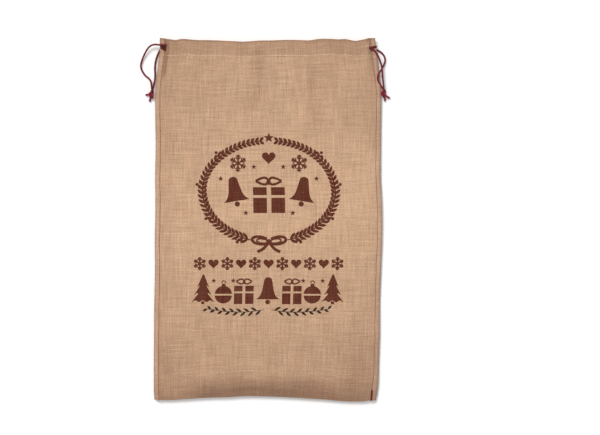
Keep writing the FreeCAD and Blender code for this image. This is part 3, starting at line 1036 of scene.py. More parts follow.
def casing_grid(side, is_front):
    """Casing section carried from the middle to the side seam.

    The outer face carries on the front's own surface, the tunnel flattens from its full depth
    to a third of it towards the seam, and a bell-shaped ridge covers the cord up to its slit.
    """
    y = np.repeat(section[:, :1], len(RUN), axis=1)
    x = RUN[None, :] * seam_x(y)
    depth = section[:, 1:]
    ridge = bump(y, CORD_Y[side], 0.0040) * (1 - ease((x - SLIT + 0.0010) / 0.0024))
    thin = np.maximum(np.maximum(0.33, ridge), dome((seam_x(y) - x) / 0.024))
    slack = 0.25 * MM * np.sin(side * x * 185 + 3.0 * np.sin(9 * x)) * ease((y - STITCH_Y) / 0.02)
    z = front_z(side * x, y) + slack * thin
    cover = CORD_Z["front"] + CORD_R + 0.5 * MM + CLOTH
    drop = depth * thin
    hem = (section[:, :1] < STITCH_Y + HEM + 0.5 * MM) & (depth > 0)
    drop = np.where(hem, np.maximum(drop, 2 * CLOTH), drop)
    z = z + np.maximum(0.0, cover - z) * ridge - drop
    if not is_front:
        z = np.maximum(2 * SEAM_Z - z, 0.25 * (TOP_Z - z) * (depth == 0))
        free = dome((seam_x(y) - x) / 0.030)
        y = y + 0.9 * MM * np.sin(27 * side * x + 1.0) * ease((y - 0.38) / 0.02) * free
    wx, wy = warp(side * x, y)
    return np.stack([wx, wy, z], axis=-1), side * x


casings = {}
for is_front, label in ((True, "front"), (False, "back")):
    for side, name in NAMES.items():
        grid, x = casing_grid(side, is_front)
        normals = grid_normals(grid, wrap=True)
        if normals[8, 20, 2] * (1 if is_front else -1) < 0:
            normals = -normals
        normals[0], normals[-1] = normals[1], normals[-2]
        uv = np.stack(np.broadcast_arrays(x * SEAM_X / MOUTH_SEAM_X,
                                          STITCH_Y + section_s[:, None]), axis=-1)
        # the same painted shade as on the front
        tones = painted_shade_of_cloth(x, np.repeat(section[:, :1], x.shape[1], axis=1))
        piece = shell(f"{name}_{label}_casing_cloth", grid, normals, uv, tones,
                      CLOTH * 0.9, wrap=True)
        dress(piece, jute_cloth, "jute_cloth")
        casings[(label, side)] = piece
print("casings:", len(casings), "section length", round(float(section_s[-1]), 4))

# %% [markdown]
# ## Side flanges
#
# Outside each side seam the raw edges of front and back stay as a flange, two layers pressed
# together.  Loose threads could be scattered along it, but at this size they read as dust; the
# flange is a narrow grid whose free edge droops, waves and frays a little, row by row, at random.

# %% Side flanges
FLANGE_ROWS = 330
FRAY = 0.55 * MM        # how far a row's end may stray, out and in together
flanges = {}
for side, name in NAMES.items():
    out = np.array([-0.0004, 0.001, 0.003, 0.005, 0.007, 0.009, 0.0105, 0.0115, 0.012])
    y = np.linspace(FOLD_Y, MOUTH_Y, FLANGE_ROWS)[:, None]
    fray = FRAY * (rng.random((FLANGE_ROWS, 1)) - 0.5) * (out[None, :] > 0.011)
    grid = flange_point(out[None, :] + fray, y, side)
    grid[..., 2] -= 0.9 * MM * (out[None, :] / FLANGE) ** 8
    if side < 0:
        grid = grid[:, ::-1]
        out = out[::-1]
    normals = grid_normals(grid)
    if np.mean(normals[..., 2]) < 0:
        grid = grid[::-1]
        y = y[::-1]
        normals = grid_normals(grid)
    flat_x, flat_y = np.broadcast_arrays(side * (SEAM_X + out[None, :]), y)
    uv = np.stack([flat_x, flat_y], axis=-1)
    # painted shade: a milder share of the front's, a fifth darker at the outer edge, where the cloth turns from the
    # light
    tones = 0.3 + 0.7 * painted_shade_of_cloth(flat_x, flat_y)
    tones = tones * (1.0 - 0.20 * ease((out[None, :] - 0.0080) / 0.003))
    piece = shell(f"{name}_flange_cloth", grid, normals, uv, tones, 2 * CLOTH)
    dress(piece, flange_cloth, "jute_cloth")
    flanges[side] = piece
print("flanges:", len(flanges))

# %% [markdown]
# ## Thread
#
# Rust red thread sews the side seams, and thread of the cloth's own colour the casings.  A strip
# with a picture of stitches would look painted on, and one long thread woven in and out would be
# mostly hidden, so a row is one mesh of short bowed stitches that dive into the cloth.


# %% Stitches
SEAM_STEP, CASING_STEP = 0.0034, 0.0036     # from one stitch to the next
UP, DOWN = (0, 0, 1), (0, 0, -1)


def row_of_stitches(name, point_at, stations, length, radius, up, material, slot_name):
    """Stitches with their centres at point_at(station), lying along the row."""
    centres = point_at(stations)
    along = point_at(stations + 0.0008) - centres
    ups = np.broadcast_to(np.asarray(up, float), centres.shape)
    piece = stitches(name, centres, along, ups, length, radius)
    return dress(piece, material, slot_name)


def seam_line(side, back):
    """Place of a side seam's stitch at y: just outside the seam line.  In front the row wavers
    by 0.3 mm and gives way to the right bottom tack; at the back it lies under both layers."""
    def point_at(y):
        if back:
            return flange_point(0.0012, y, side, -(2 * CLOTH + 0.05 * MM))
        away = 0.0020 * (side > 0) * bump(y, -0.374, 0.026)
        return flange_point(0.0010 + 0.0003 * np.sin(y * 90.0) - away, y, side, 0.05 * MM)
    return point_at


def casing_front_line(x):
    """Place of a front casing stitch at x, pressed 0.35 mm into the cloth."""
    return front_point(x, STITCH_ROW_Y, -0.35 * MM)


def casing_back_line(x):
    """Place of a back casing stitch at x, 0.35 mm above the surface that the sack lies on."""
    wx, wy = warp(x, np.full_like(x, STITCH_Y + 0.0012))
    return np.stack([wx, wy, np.full_like(x, 0.35 * MM)], -1)


threads = {}
for side, name in NAMES.items():
    start = FOLD_Y + 0.001 if side < 0 else tack_high[1]
    threads[("seam_front", side)] = row_of_stitches(
        f"{name}_seam_stitches_front", seam_line(side, False),
        np.arange(start, MOUTH_Y - 0.001, SEAM_STEP), 0.0027, 0.00062, UP,
        rust_thread, "seam_thread")
    threads[("seam_back", side)] = row_of_stitches(
        f"{name}_seam_stitches_back", seam_line(side, True),
        np.arange(FOLD_Y + 0.001, MOUTH_Y - 0.001, SEAM_STEP), 0.0031, 0.00045, DOWN,
        rust_thread, "seam_thread")

for side, name in NAMES.items():
    threads[("casing_front", side)] = row_of_stitches(
        f"{name}_casing_stitches_front", casing_front_line,
        np.arange(0.0018, HEM_X + 0.016, CASING_STEP) * side, 0.0034, 0.00090, UP,
        jute_thread, "casing_thread")
    threads[("casing_back", side)] = row_of_stitches(
        f"{name}_casing_stitches_back", casing_back_line,
        np.arange(0.0018, HEM_X, CASING_STEP) * side, 0.0032, 0.00030, DOWN,
        jute_thread, "casing_thread")
print("rows of stitches:", len(threads))

# %% [markdown]
# ## Tacks
#
# Where a seam is pulled hardest, at the bottom corner and beside the cords' slits, the sewer goes
# back and forth over the same place in thick red thread.  A solid patch would lose the lines of
# thread, so each tack is a few lines of the same stitches, each lying a little over the last.


# %% Tacks
def tack(name, point_at, length, lines, pitch, radius, material):
    """Back-stitching: a few lines of stitches side by side, one over the other.

    point_at(s, w) gives the place s along the tack and w across it.  Every second line starts
    0.3 of a stitch later, and the lines lean a little to and fro.
    """
    centres, along = [], []
    for i, w in enumerate(lines):
        s = np.arange(0.4 * pitch, length, pitch) + 0.3 * pitch * (i % 2)
        a = point_at(s, np.full_like(s, w))
        b = point_at(s + 0.0008, np.full_like(s, w) + 0.00015 * (-1) ** i)
        a[:, 2] += 0.12 * MM * i
        centres.append(a)
        along.append(b - a)
    centres, along = np.concatenate(centres), np.concatenate(along)
    ups = np.broadcast_to(np.asarray(UP, float), centres.shape)
    piece = stitches(name, centres, along, ups, 1.25 * pitch, radius)
    return dress(piece, material, "seam_thread")


bottom_tack = tack(
    "bottom_tack_thread",
    lambda s, w: flange_point(w - 0.0001 - 0.095 * s, FOLD_Y + s, 1, 0.2 * MM),
    tack_high[1] - tack_low[1], (0.0, 0.0008, 0.0016, 0.0023), 0.0034, 0.00075, red_thread)

# beside each slit: (start and end outside the side seam, middle above the cord, half its
# height, lean).  The left one is a patch and the right one a narrow bar.
EXIT_TACKS = {-1: (-0.0030, 0.0100, -0.0080, 0.0046, 0.5),
              1: (-0.0026, 0.0128, -0.0014, 0.0018, 0.16)}


def exit_tack_place(side, begin, above, lean):
    """Place s along and w across the tack beside a slit: it leans as it goes out, and lifts
    by 0.45 of its way inside the side seam, where the cloth swells."""
    def place(s, w):
        y = CORD_Y[side] + above + w + lean * (s - 0.0065)
        inside = np.maximum(0.0, -(begin + s))
        return flange_point(begin + s, y, side, 0.5 * MM + 0.45 * inside)
    return place


exit_tacks = {}
for side, (begin, end, above, half, lean) in EXIT_TACKS.items():
    exit_tacks[side] = tack(f"{NAMES[side]}_exit_tack_thread",
                            exit_tack_place(side, begin, above, lean), end - begin,
                            np.arange(-half, half + 0.0001, 0.0008), 0.0032, 0.0008, red_thread)
print("tacks: 1 at the bottom,", len(exit_tacks), "at the cord exits")

# %% [markdown]
# ## Cords
#
# Two cords draw the mouth closed.  Each leaves the casings at its own side as two strands, lies
# slack on the surface and ends in a knot.  A cloth or rope simulation would drop it somewhere
# else each time, so the routes are given, as in the solid model: millimetres from the
# place where the strand leaves, eased by a smooth spline.

# %% Routes
EXIT_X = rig.box("right_cord_run")[1][0]
STRANDS = {
    ("left", "front"): [(0, 0, 0), (-11, -1.2, -0.5), (-23, -0.4, -2.8), (-35, 1.0, -5.4),
                        (-45.5, -4.0, -8), (-54, -17, -10.5), (-61, -32, -13),
                        (-65.5, -49, -14.6), (-56, -67, -14.7), (-44, -75, -13),
                        (-39.8, -86, -9.4), (-38.9, -101, -8.6)],
    ("left", "back"): [(0, 0, 0), (-15, 0, 0), (-24, -15, -1), (-31, -33, -1.5),
                       (-33.2, -51, -1.5), (-32, -69, -1.5), (-33.6, -82, -1),
                       (-36, -91, -0.2), (-38.4, -101, 0.4)],
    ("right", "front"): [(0, 0, 0), (9, -0.2, -0.4), (22, -7, -2.4), (31.5, -24, -5.5),
                         (37.6, -44, -7.2), (38.9, -62, -8.2), (40.2, -76, -9),
                         (41.5, -85, -8.8), (42, -93.5, -8.6)],
    ("right", "back"): [(0, 0, 0), (16, 0, 0), (38.5, -10, -0.8), (47, -26, -1.5),
                        (39.5, -44.5, 1.6), (28, -62, 8), (28.2, -74, 6.8),
                        (37, -85, 1.4), (40.6, -93.5, 0.4)],
}


def spline_points(points):
    """Points read from a NURBS of order 3 with these control points, 24 to each of them: a chain
    of parabolas that starts and ends on the outer points and is drawn towards the others."""
    data = bpy.data.curves.new("route", "CURVE")
    data.dimensions = "3D"
    spline = data.splines.new("NURBS")
    spline.points.add(len(points) - 1)
    for place, p in zip(spline.points, points):
        place.co = (*p, 1.0)
    spline.order_u = 3
    spline.use_endpoint_u = True
    spline.resolution_u = 24
    holder = bpy.data.objects.new("route", data)
    bpy.context.scene.collection.objects.link(holder)
    mesh = bpy.data.meshes.new_from_object(holder)
    line = np.zeros(len(mesh.vertices) * 3)
    mesh.vertices.foreach_get("co", line)
    bpy.data.objects.remove(holder, do_unlink=True)
    bpy.data.meshes.remove(mesh)
    bpy.data.curves.remove(data)
    return line.reshape(-1, 3)


def evenly(line, step):
    """The same line with points step apart, found by straight lines between the old ones."""
    s = lengths_along(line)
    at = np.linspace(0, s[-1], max(8, int(round(s[-1] / step))))
    return np.stack([np.interp(at, s, line[:, k]) for k in range(3)], -1)


BRAID_LENGTH = 0.0042      # a strand of the braid crosses the next after this far


def braid(s, angle):
    """Relief of the braid: 0.16 mm times |sin(4·angle + ks)·sin(4·angle - ks)| - 1/2."""
    k = math.pi / BRAID_LENGTH
    return 0.16 * MM * (np.abs(np.sin(4 * angle + k * s) * np.sin(4 * angle - k * s)) - 0.5)


print("strands leave the casings", round(EXIT_X / MM, 1), "mm from the middle")

# %% [markdown]
# ## Strands and runs
#
# The cord is a tight braid, four millimetres thick.  A curve object with a round bevel would
# give a smooth pipe; a tube worked out from rings of points can carry the braid's bumps as well.
# Inside the casings the same cord goes on, along the front, round the far side and back.


# %% Strands and runs
def cord_piece(name, control, radius, step, sides):
    """A braided cord along the smooth line of these control points; also gives the line."""
    line = evenly(spline_points(control), step)
    piece = tube(name, line, radius, sides, braid)
    print(name, round(float(lengths_along(line)[-1]) / MM, 1), "mm")
    return dress(piece, burgundy, "cord"), line


strands, runs = {}, {}
for (name, layer), steps in STRANDS.items():
    side = -1 if name == "left" else 1
    start = np.array([side * EXIT_X, CORD_Y[side], CORD_Z[layer]])
    piece, line = cord_piece(f"{name}_{layer}_strand_cord", start + MM * np.array(steps, float),
                             CORD_R, 0.0006, 32)
    strands[(name, layer)] = (piece, line, start)

FAR, TURN = -0.212, -0.2186        # where the run starts to turn, and how far it goes
RUN_ROUTE = [(EXIT_X, "front"), (0.0, "front"), (FAR, "front"), (TURN, "front"),
             (TURN, "back"), (FAR, "back"), (0.0, "back"), (EXIT_X, "back")]
for side, name in NAMES.items():
    control = [(side * x, CORD_Y[side], CORD_Z[layer]) for x, layer in RUN_ROUTE]
    runs[name] = cord_piece(f"{name}_run_cord", control, CORD_R * 0.97, 0.0014, 24)[0]
print("strands:", len(strands), "runs:", len(runs))

# %% [markdown]
# ## Knots
#
# Each pair of strands is tied in one overhand knot, pulled tight, with two short cut ends below
# it.  Tying it by hand in a viewport is slow work; but the curve that an overhand knot follows,
# a trefoil, has a short formula, and the same braided tube is carried along it.


# %% Knots and tails
def knot_line(centre, across, along, rise, spin):
    """An overhand knot's own curve, a trefoil, drawn out along the cord:
    (sin t + 2 sin 2t, cos t - 2 cos 2t, -sin 3t), turned by spin and scaled on each axis."""
    t = np.linspace(0, 2 * np.pi, 260) + np.pi / 6
    x, y = np.sin(t) + 2 * np.sin(2 * t), np.cos(t) - 2 * np.cos(2 * t)
    c, s = math.cos(spin), math.sin(spin)
    return centre + np.stack([across * (c * x - s * y), along * (s * x + c * y),
                              -rise * np.sin(3 * t)], -1)


# per side: the knot's move from the middle of its box, its spin, the tails' root from there,
# and the millimetres from there to each tail's tip
TIES = {-1: ((0.0012, 0.0, 0.0), 0.5, (-0.0005, 0.001, 0.0), [(-12.5, -1, -3.8), (-4, -15, -3.8)]),
        1: ((0.0, 0.0008, 0.0), 2.6, (0.002, -0.003, 0.0), [(13.0, -10, -3.8), (3.0, -16, -3.8)])}
TAIL_RISE = np.array([0.0, 0.0, 0.0016])      # a tail's middle bends up by this
knots, tail_pieces = {}, {}
for side, name in NAMES.items():
    move, spin, root, tips = TIES[side]
    centre = 0.5 * np.sum(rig.box(f"{name}_knot"), axis=0) + move
    piece = tube(f"{name}_knot_coil", knot_line(centre, 0.00162, 0.00285, 0.0020, spin),
                 CORD_R * 1.02, 28, braid)
    knots[name] = dress(piece, burgundy_knot, "cord")
    tail_pieces[name] = []
    for i, tip in enumerate(tips):
        start, end = centre + root + [0.0, 0.0, -0.0008 * i], centre + MM * np.array(tip, float)
        line = spline_points([start, 0.5 * (start + end) + TAIL_RISE, end])
        piece = tube(f"{name}_tail_{i + 1}", evenly(line, 0.0005), CORD_R, 28, braid, flare=0.0004)
        tail_pieces[name].append(dress(piece, burgundy_knot, "cord"))
print("knots:", len(knots), "tails:", sum(map(len, tail_pieces.values())))

# %% [markdown]
# ## Printed front
#
# A generic winter design in brown: a leafy wreath round bells and a parcel, with two rows of
# small motifs and two black sprigs below it.  Screen ink on jute only reaches the backs of the
# threads.  The design could be an image on the cloth's uv map, but its edges would blur close
# up; shapes drawn flat, in millimetres, and laid on the cloth stay sharp, and the ink on them
# shares the cloth's weave.


# %% Flat shapes
ink_layers = {"brown": [], "black": []}


def add_shape(points, faces, tone="brown"):
    """Keeps a flat shape.  A face whose signed area, half the sum of the cross products of its
    corners, is below zero is turned over, so that all face up."""
    points, faces = np.asarray(points, float).reshape(-1, 2), np.asarray(faces, int)
    x, y = np.moveaxis(points[faces], -1, 0)
    area = np.sum(x * np.roll(y, -1, axis=1) - y * np.roll(x, -1, axis=1), axis=1)
    faces = np.where(area[:, None] < 0, faces[:, ::-1], faces)
    ink_layers[tone].append((points, faces))


def filled(outline, centre=None, rings=4, tone="brown"):
    """Fills an outline that can be seen whole from its centre, with rings of quads: each ring is
    the outline shrunk towards the centre by its share."""
    outline = np.asarray(outline, float)
    centre = outline.mean(0) if centre is None else np.asarray(centre, float)
    share = np.linspace(0.02, 1.0, rings + 1)
    points = centre + share[:, None, None] * (outline - centre)[None]
    n = len(outline)
    i, j = np.meshgrid(np.arange(rings), np.arange(n), indexing="ij")
    a = i * n + j
    b = i * n + (j + 1) % n
    add_shape(points, np.stack([a, b, b + n, a + n], -1).reshape(-1, 4), tone)


def ribbon(line, width, tone="brown", taper=0.0):
    """A stroke along a line.  taper thins it towards both ends, by that share."""
    line = np.asarray(line, float)
    s = np.concatenate([[0], np.cumsum(np.linalg.norm(np.diff(line, axis=0), axis=1))])
    count = max(6, int(s[-1] / 1.6))
    at = np.linspace(0, s[-1], count)
    line = np.stack([np.interp(at, s, line[:, k]) for k in range(2)], -1)
    d = np.gradient(line, axis=0)
    d /= np.maximum(np.linalg.norm(d, axis=1, keepdims=True), 1e-9)
    normal = np.stack([-d[:, 1], d[:, 0]], -1)
    t = np.linspace(0, 1, count)
    w = 0.5 * width * (1 - taper * (1 - np.sin(np.pi * t)))[:, None]
    points = np.stack([line - normal * w, line + normal * w], axis=1)
    i = np.arange(count - 1) * 2
    add_shape(points, np.stack([i, i + 1, i + 3, i + 2], -1), tone)


def smooth_line(points):
    """Catmull-Rom curve through a few points: a cubic between each two, with slopes taken from
    their neighbours."""
    p = np.asarray(points, float)
    p = np.concatenate([[2 * p[0] - p[1]], p, [2 * p[-1] - p[-2]]])
    t = np.linspace(0, len(p) - 3 - 1e-9, 80)
    i = t.astype(int)
    f = (t - i)[:, None]
    a, b, c, d = p[i], p[i + 1], p[i + 2], p[i + 3]
    return 0.5 * (2 * b + (c - a) * f + (2 * a - 5 * b + 4 * c - d) * f**2
                  + (3 * b - a - 3 * c + d) * f**3)


print("fills and strokes are ready for:", list(ink_layers))


# %% Motifs
def rectangle(x0, y0, x1, y1):
    """Filled rectangle between two opposite corners."""
    filled([[x0, y0], [x1, y0], [x1, y1], [x0, y1]])


def star(cx, cy, r):
    """Star of five points: ten corners round the middle, every second one at 0.42 of r."""
    corner = np.arange(10)
    a = np.radians(90.0) + corner * np.pi / 5
    r = np.where(corner % 2 == 0, r, r * 0.42)
    filled(np.stack([cx + r * np.cos(a), cy + r * np.sin(a)], -1), (cx, cy))


def disc(cx, cy, r):
    """Round dot."""
    a = np.linspace(0, 2 * np.pi, 28, endpoint=False)
    filled(np.stack([cx + r * np.cos(a), cy + r * np.sin(a)], -1), (cx, cy), rings=3)


def flake(cx, cy, r, width):
    """Snowflake: six arms, 60 degrees apart, each with two pairs of short branches."""
    for k in range(6):
        a = math.radians(60 * k + 30)
        d = np.array([math.cos(a), math.sin(a)])
        n = np.array([-d[1], d[0]])
        c = np.array([cx, cy])
        ribbon([c + 0.12 * r * d, c + r * d], width)
        for at, reach in ((0.45, 0.30), (0.72, 0.22)):
            for hand in (1, -1):
                ribbon([c + at * r * d, c + (at + reach * 0.8) * r * d + hand * reach * r * n],
                       width * 0.85)
    disc(cx, cy, 0.16 * r)


def heart(cx, cy, r):
    """Heart: x = sin³ t, y = (13 cos t - 5 cos 2t - 2 cos 3t - cos 4t + 2) / 16, times r."""
    t = np.linspace(0, 2 * np.pi, 48, endpoint=False)
    x = 16 * np.sin(t) ** 3
    y = 13 * np.cos(t) - 5 * np.cos(2 * t) - 2 * np.cos(3 * t) - np.cos(4 * t)
    filled(np.stack([cx + r * x / 16, cy + r * (y + 2) / 16], -1), (cx, cy))


def fir(cx, cy, w, h):
    """Fir tree of three tiers with curved skirts, on a short trunk."""
    for low, high, half in ((0.10, 0.52, 0.50), (0.34, 0.78, 0.38), (0.60, 1.0, 0.26)):
        t = np.linspace(-1, 1, 15)
        skirt = np.stack([cx + w * half * t, cy + h * (low + 0.035 * np.cos(3 * np.pi * t))], -1)
        tip = [[cx + w * 0.03, cy + h * high], [cx - w * 0.03, cy + h * high]]
        filled(np.concatenate([skirt, tip]), (cx, cy + h * (low * 0.6 + high * 0.4)))
    rectangle(cx - w * 0.07, cy, cx + w * 0.07, cy + h * 0.1)


def bell(cx, cy, w, h, lean=0.0):
    """Bell with a round top, a lip that flares as the sixth power of the way down, and a
    clapper; lean turns it about its foot."""
    t = np.linspace(0, 1, 20)
    half = w * (0.17 + 0.14 * t + 0.19 * t**6)
    y = h * (0.86 - 0.70 * t)
    edge = np.concatenate([np.stack([half, y], -1), np.stack([-half[::-1], y[::-1]], -1)])
    top = np.stack([w * 0.17 * np.cos(np.linspace(np.pi, 0, 9)),
                    h * (0.86 + 0.12 * np.sin(np.linspace(np.pi, 0, 9)))], -1)[1:-1]
    shape = np.concatenate([edge, top])
    c, s = math.cos(lean), math.sin(lean)
    turn_by, foot = np.array([[c, s], [-s, c]]), np.array([cx, cy])
    filled(foot + shape @ turn_by, foot + np.array([0, h * 0.45]) @ turn_by)
    disc(*(foot + np.array([0, h * 0.06]) @ turn_by), w * 0.10)


def parcel(cx, cy, w, h):
    """Wrapped box: four panels round a bare ribbon, with a bow on top."""
    gap = w * 0.07
    for sx in (-1, 1):
        x0, x1 = sorted((cx + sx * gap, cx + sx * w / 2))
        for y0, y1 in ((cy, cy + h * 0.40), (cy + h * 0.47, cy + h * 0.68)):
            rectangle(x0, y0, x1, y1)
        t = np.linspace(0, 2 * np.pi, 26, endpoint=False)
        loop = np.stack([cx + sx * w * (0.21 + 0.19 * np.cos(t)),
                         cy + h * (0.84 + 0.13 * np.sin(t) * (0.6 - 0.4 * np.cos(t)))], -1)
        ribbon(np.concatenate([loop, loop[:1]]), w * 0.075)
    disc(cx, cy + h * 0.80, w * 0.075)


def bauble(cx, cy, r):
    """Round bauble with a cap and a ring; a bare band goes round it."""
    a = np.linspace(0, np.pi, 20)
    for low in (1, -1):
        arc = np.stack([cx + r * np.cos(a) * 0.99, cy + low * (r * np.sin(a) * 0.92 + r * 0.10)], -1)
        filled(arc, (cx, cy + low * r * 0.45))
    filled([[cx - r * 0.24, cy + r], [cx + r * 0.24, cy + r], [cx + r * 0.2, cy + r * 1.28],
            [cx - r * 0.2, cy + r * 1.28]])
    t = np.linspace(-0.4, np.pi + 0.4, 16)
    ribbon(np.stack([cx + r * 0.22 * np.cos(t), cy + r * 1.42 + r * 0.2 * np.sin(t)], -1), r * 0.12)


print("motifs: star, disc, flake, heart, fir, bell, parcel and bauble")


# %% Sprigs of leaves
def sprig(line, leaf, wide, every, lean=0.62, paired=False, stem=1.7, tone="brown", first=7.0):
    """Sprig of pointed leaves along a stem, in pairs or by turns; each leaf is a lens shape
    with a half width of wide·sin(πt)^0.8 along its length, and leaves shrink towards the tip."""
    line = np.asarray(line, float)
    s = np.concatenate([[0], np.cumsum(np.linalg.norm(np.diff(line, axis=0), axis=1))])
    ribbon(line, stem, tone, taper=0.3)
    t = np.linspace(0, 1, 12)[:, None]
    half = wide * np.sin(np.pi * t) ** 0.8
    for k, along in enumerate(np.arange(first, s[-1] + 0.1, every)):
        p = np.array([np.interp(along, s, line[:, 0]), np.interp(along, s, line[:, 1])])
        q = np.array([np.interp(along - 1, s, line[:, 0]), np.interp(along - 1, s, line[:, 1])])
        d0 = (p - q) / np.linalg.norm(p - q)
        size = leaf * (1.0 - 0.35 * along / s[-1])
        for hand in ((1, -1) if paired else (1 if k % 2 == 0 else -1,)):
            c, sn = math.cos(lean * hand), math.sin(lean * hand)
            d = np.array([c * d0[0] - sn * d0[1], sn * d0[0] + c * d0[1]])
            n = np.array([-d[1], d[0]])
            lens = np.concatenate([p + size * t * d + half * n,
                                   (p + size * t * d - half * n)[::-1]])
            filled(lens, p + 0.5 * size * d, tone=tone)


print("sprig is ready")

# %% [markdown]
# ## Wreath, bells and rows
#
# Placing some sixty motifs by hand would leave the two halves unlike.  A wreath is a closed line
# with leaves on it, so its stem follows an ellipse, and the leaves, berries and bow are set on
# that.  The rows below mirror each motif about the middle of the print.


# %% Wreath and its bow
MID = 1.5                             # the print's middle, in millimetres across the sack
WREATH_Y = 64.0                       # middle of the wreath
WREATH_A, WREATH_B = 146.0, 112.0     # its half width and half height


def round_wreath(degrees, out=0.0):
    """Points of the wreath's ellipse at these angles, moved out by so many millimetres:
    x = (half width + out) cos a, y = (half height + out) sin a."""
    a = np.radians(degrees)
    return np.stack([MID + (WREATH_A + out) * np.cos(a),
                     WREATH_Y + (WREATH_B + out) * np.sin(a)], -1)


def bow(cx, cy, w):
    """Bow: two loops, each with a smaller one inside, two tails and a knot.  A loop goes out as
    a half sine and back, and opens as it goes."""
    t = np.linspace(0, 1, 40)
    r = np.sin(np.pi * t)
    for hand in (1, -1):
        for reach, height, width in ((0.44, 0.36, 0.085), (0.30, 0.22, 0.05)):
            loop = np.stack([cx + hand * w * (0.06 + reach * r),
                             cy + w * height * (t - 0.36) * (0.4 + r)], -1)
            ribbon(loop, w * width)
        ribbon(smooth_line([(cx, cy), (cx + hand * w * 0.16, cy - w * 0.20),
                            (cx + hand * w * 0.34, cy - w * 0.30)]), w * 0.09)
    disc(cx, cy, w * 0.085)


for hand in (1, -1):
    sprig(round_wreath(np.linspace(-90 + 16 * hand, -90 + 174 * hand, 120)), 19.0, 3.3, 10.0,
          lean=0.70, paired=True, stem=3.4, first=6.0)
    for turn in (26, 61, 97, 133):
        for step, out in ((-2.6, 7.0), (2.6, 7.0), (0.0, 13.0)):
            disc(*round_wreath(-90 + (turn + step) * hand, out), 3.4)
bow(MID, WREATH_Y - WREATH_B, 74)
star(MID, WREATH_Y + WREATH_B + 6, 12.0)
print("shapes in the wreath:", len(ink_layers["brown"]))

# %% Rows of motifs
bell(MID - 69.5, 32, 58, 66, 0.16)
parcel(MID, 16, 70, 84)
bell(MID + 69.5, 32, 58, 66, -0.16)
for x in (MID - 67.5, MID + 67.5):
    flake(x, 126, 19.0, 3.6)
heart(MID, 137, 15.0)
for out, y in ((32.5, 118), (105.5, 92), (51.5, 16)):
    for hand in (-1, 1):
        star(MID + out * hand, y, 6.5)
for k, x in enumerate(np.linspace(MID - 151.5, MID + 151.5, 11)):
    if k % 2 == 0:
        flake(x, -96, 14.5, 3.2)
    else:
        heart(x, -97, 11.5)
for hand in (1, -1):
    fir(MID + 143 * hand, -186, 50, 66)
    bauble(MID + 98 * hand, -165, 19)
    parcel(MID + 53 * hand, -186, 43, 60)
    for out in (120, 77):
        star(MID + out * hand, -134, 6.0)
    sprig(smooth_line([(MID + out * hand, y) for out, y in ((8, -199), (50, -204), (96, -202),
                                                           (136, -196))]),
          17.0, 2.6, 8.5, tone="black")
bell(MID, -185, 52, 60)
print("shapes in all:", {tone: len(shapes) for tone, shapes in ink_layers.items()})


# %% Ink on the cloth
def ink_piece(name, shapes, material):
    """All shapes of one colour as one mesh, laid on the front 0.06 mm above the cloth, and each
    0.004 mm above the last, for twelve in turn, so that no two faces share a place."""
    points, faces, base = [], [], 0
    for i, (flat, f) in enumerate(shapes):
        p = front_point(flat[:, 0] * MM, flat[:, 1] * MM, (0.06 + 0.004 * (i % 12)) * MM)
        points.append(p)
        faces.append(f + base)
        base += len(p)
    uv = np.concatenate([s[0] * MM for s in shapes])
    piece = new_mesh(name, np.concatenate(points), np.concatenate(faces), uv)
    piece.data.materials.append(material)
    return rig.slot(piece, "jute_cloth")


prints = [ink_piece("printed_design", ink_layers["brown"], brown_ink),
          ink_piece("printed_sprig", ink_layers["black"], black_ink)]
print("print faces:", [len(p.data.polygons) for p in prints])

# %% [markdown]
# ## What rides on what
#
# Drawing a cord slides it out of its slit and pulls the opposite corner of the mouth in, while
# the bottom of the sack stays put.  An armature could do that with bones, but the solid model
# already has the bodies that move.  So the cords ride on theirs, the print and the bottom tack
# on the sack, and the cloth with all that is sewn to it passes smoothly from one body to another.

# %% Bodies
ROWS = ("seam_front", "seam_back", "casing_front", "casing_back")
for side in NAMES:
    for piece in (cloth[side], flanges[side], casings[("front", side)], casings[("back", side)],
                  exit_tacks[side], *(threads[(row, side)] for row in ROWS)):
        follow_corner(piece, side)
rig.ride(bottom_tack, "sack")
for piece in prints:
    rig.ride(piece, "sack")

for side, name in NAMES.items():
    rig.replaces(cloth[side], "front_panel", "back_panel", "bottom_fold")
    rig.replaces(flanges[side], f"{name}_side_seam")
    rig.replaces(casings[("front", side)], "front_casing", f"{name}_mouth_corner")
    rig.replaces(casings[("back", side)], "back_casing", f"{name}_mouth_corner")
    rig.replaces(exit_tacks[side], f"{name}_exit_tack")
    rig.replaces(threads[("seam_front", side)], f"{name}_seam_stitches")
    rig.replaces(threads[("casing_front", side)], "front_casing_stitches")
    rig.replaces(threads[("casing_back", side)], "back_casing_stitches")
    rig.replaces(runs[name], f"{name}_cord_run")
    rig.replaces(knots[name], f"{name}_knot")
    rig.replaces(tail_pieces[name][0], f"{name}_cord_tails")
    for piece in (runs[name], knots[name], *tail_pieces[name]):
        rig.ride(piece, f"{name}_cord")
    for layer in ("front", "back"):
        piece = strands[(name, layer)][0]
        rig.ride(piece, f"{name}_cord")
        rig.replaces(piece, f"{name}_{layer}_strand")
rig.replaces(bottom_tack, "right_bottom_tack")
print("pieces that gather with a corner:", (5 + len(ROWS)) * len(NAMES))

# %% [markdown]
# ## Soft goods
#
# Cloth and cord are limp, and the solid model can't say so.  A simulation later on needs to know
# how large each sheet is when it lies flat, what it rests on, and how long, how thick and how
# stiff each cord is.  That is written down here, piece by piece; the shapes stay as they are.

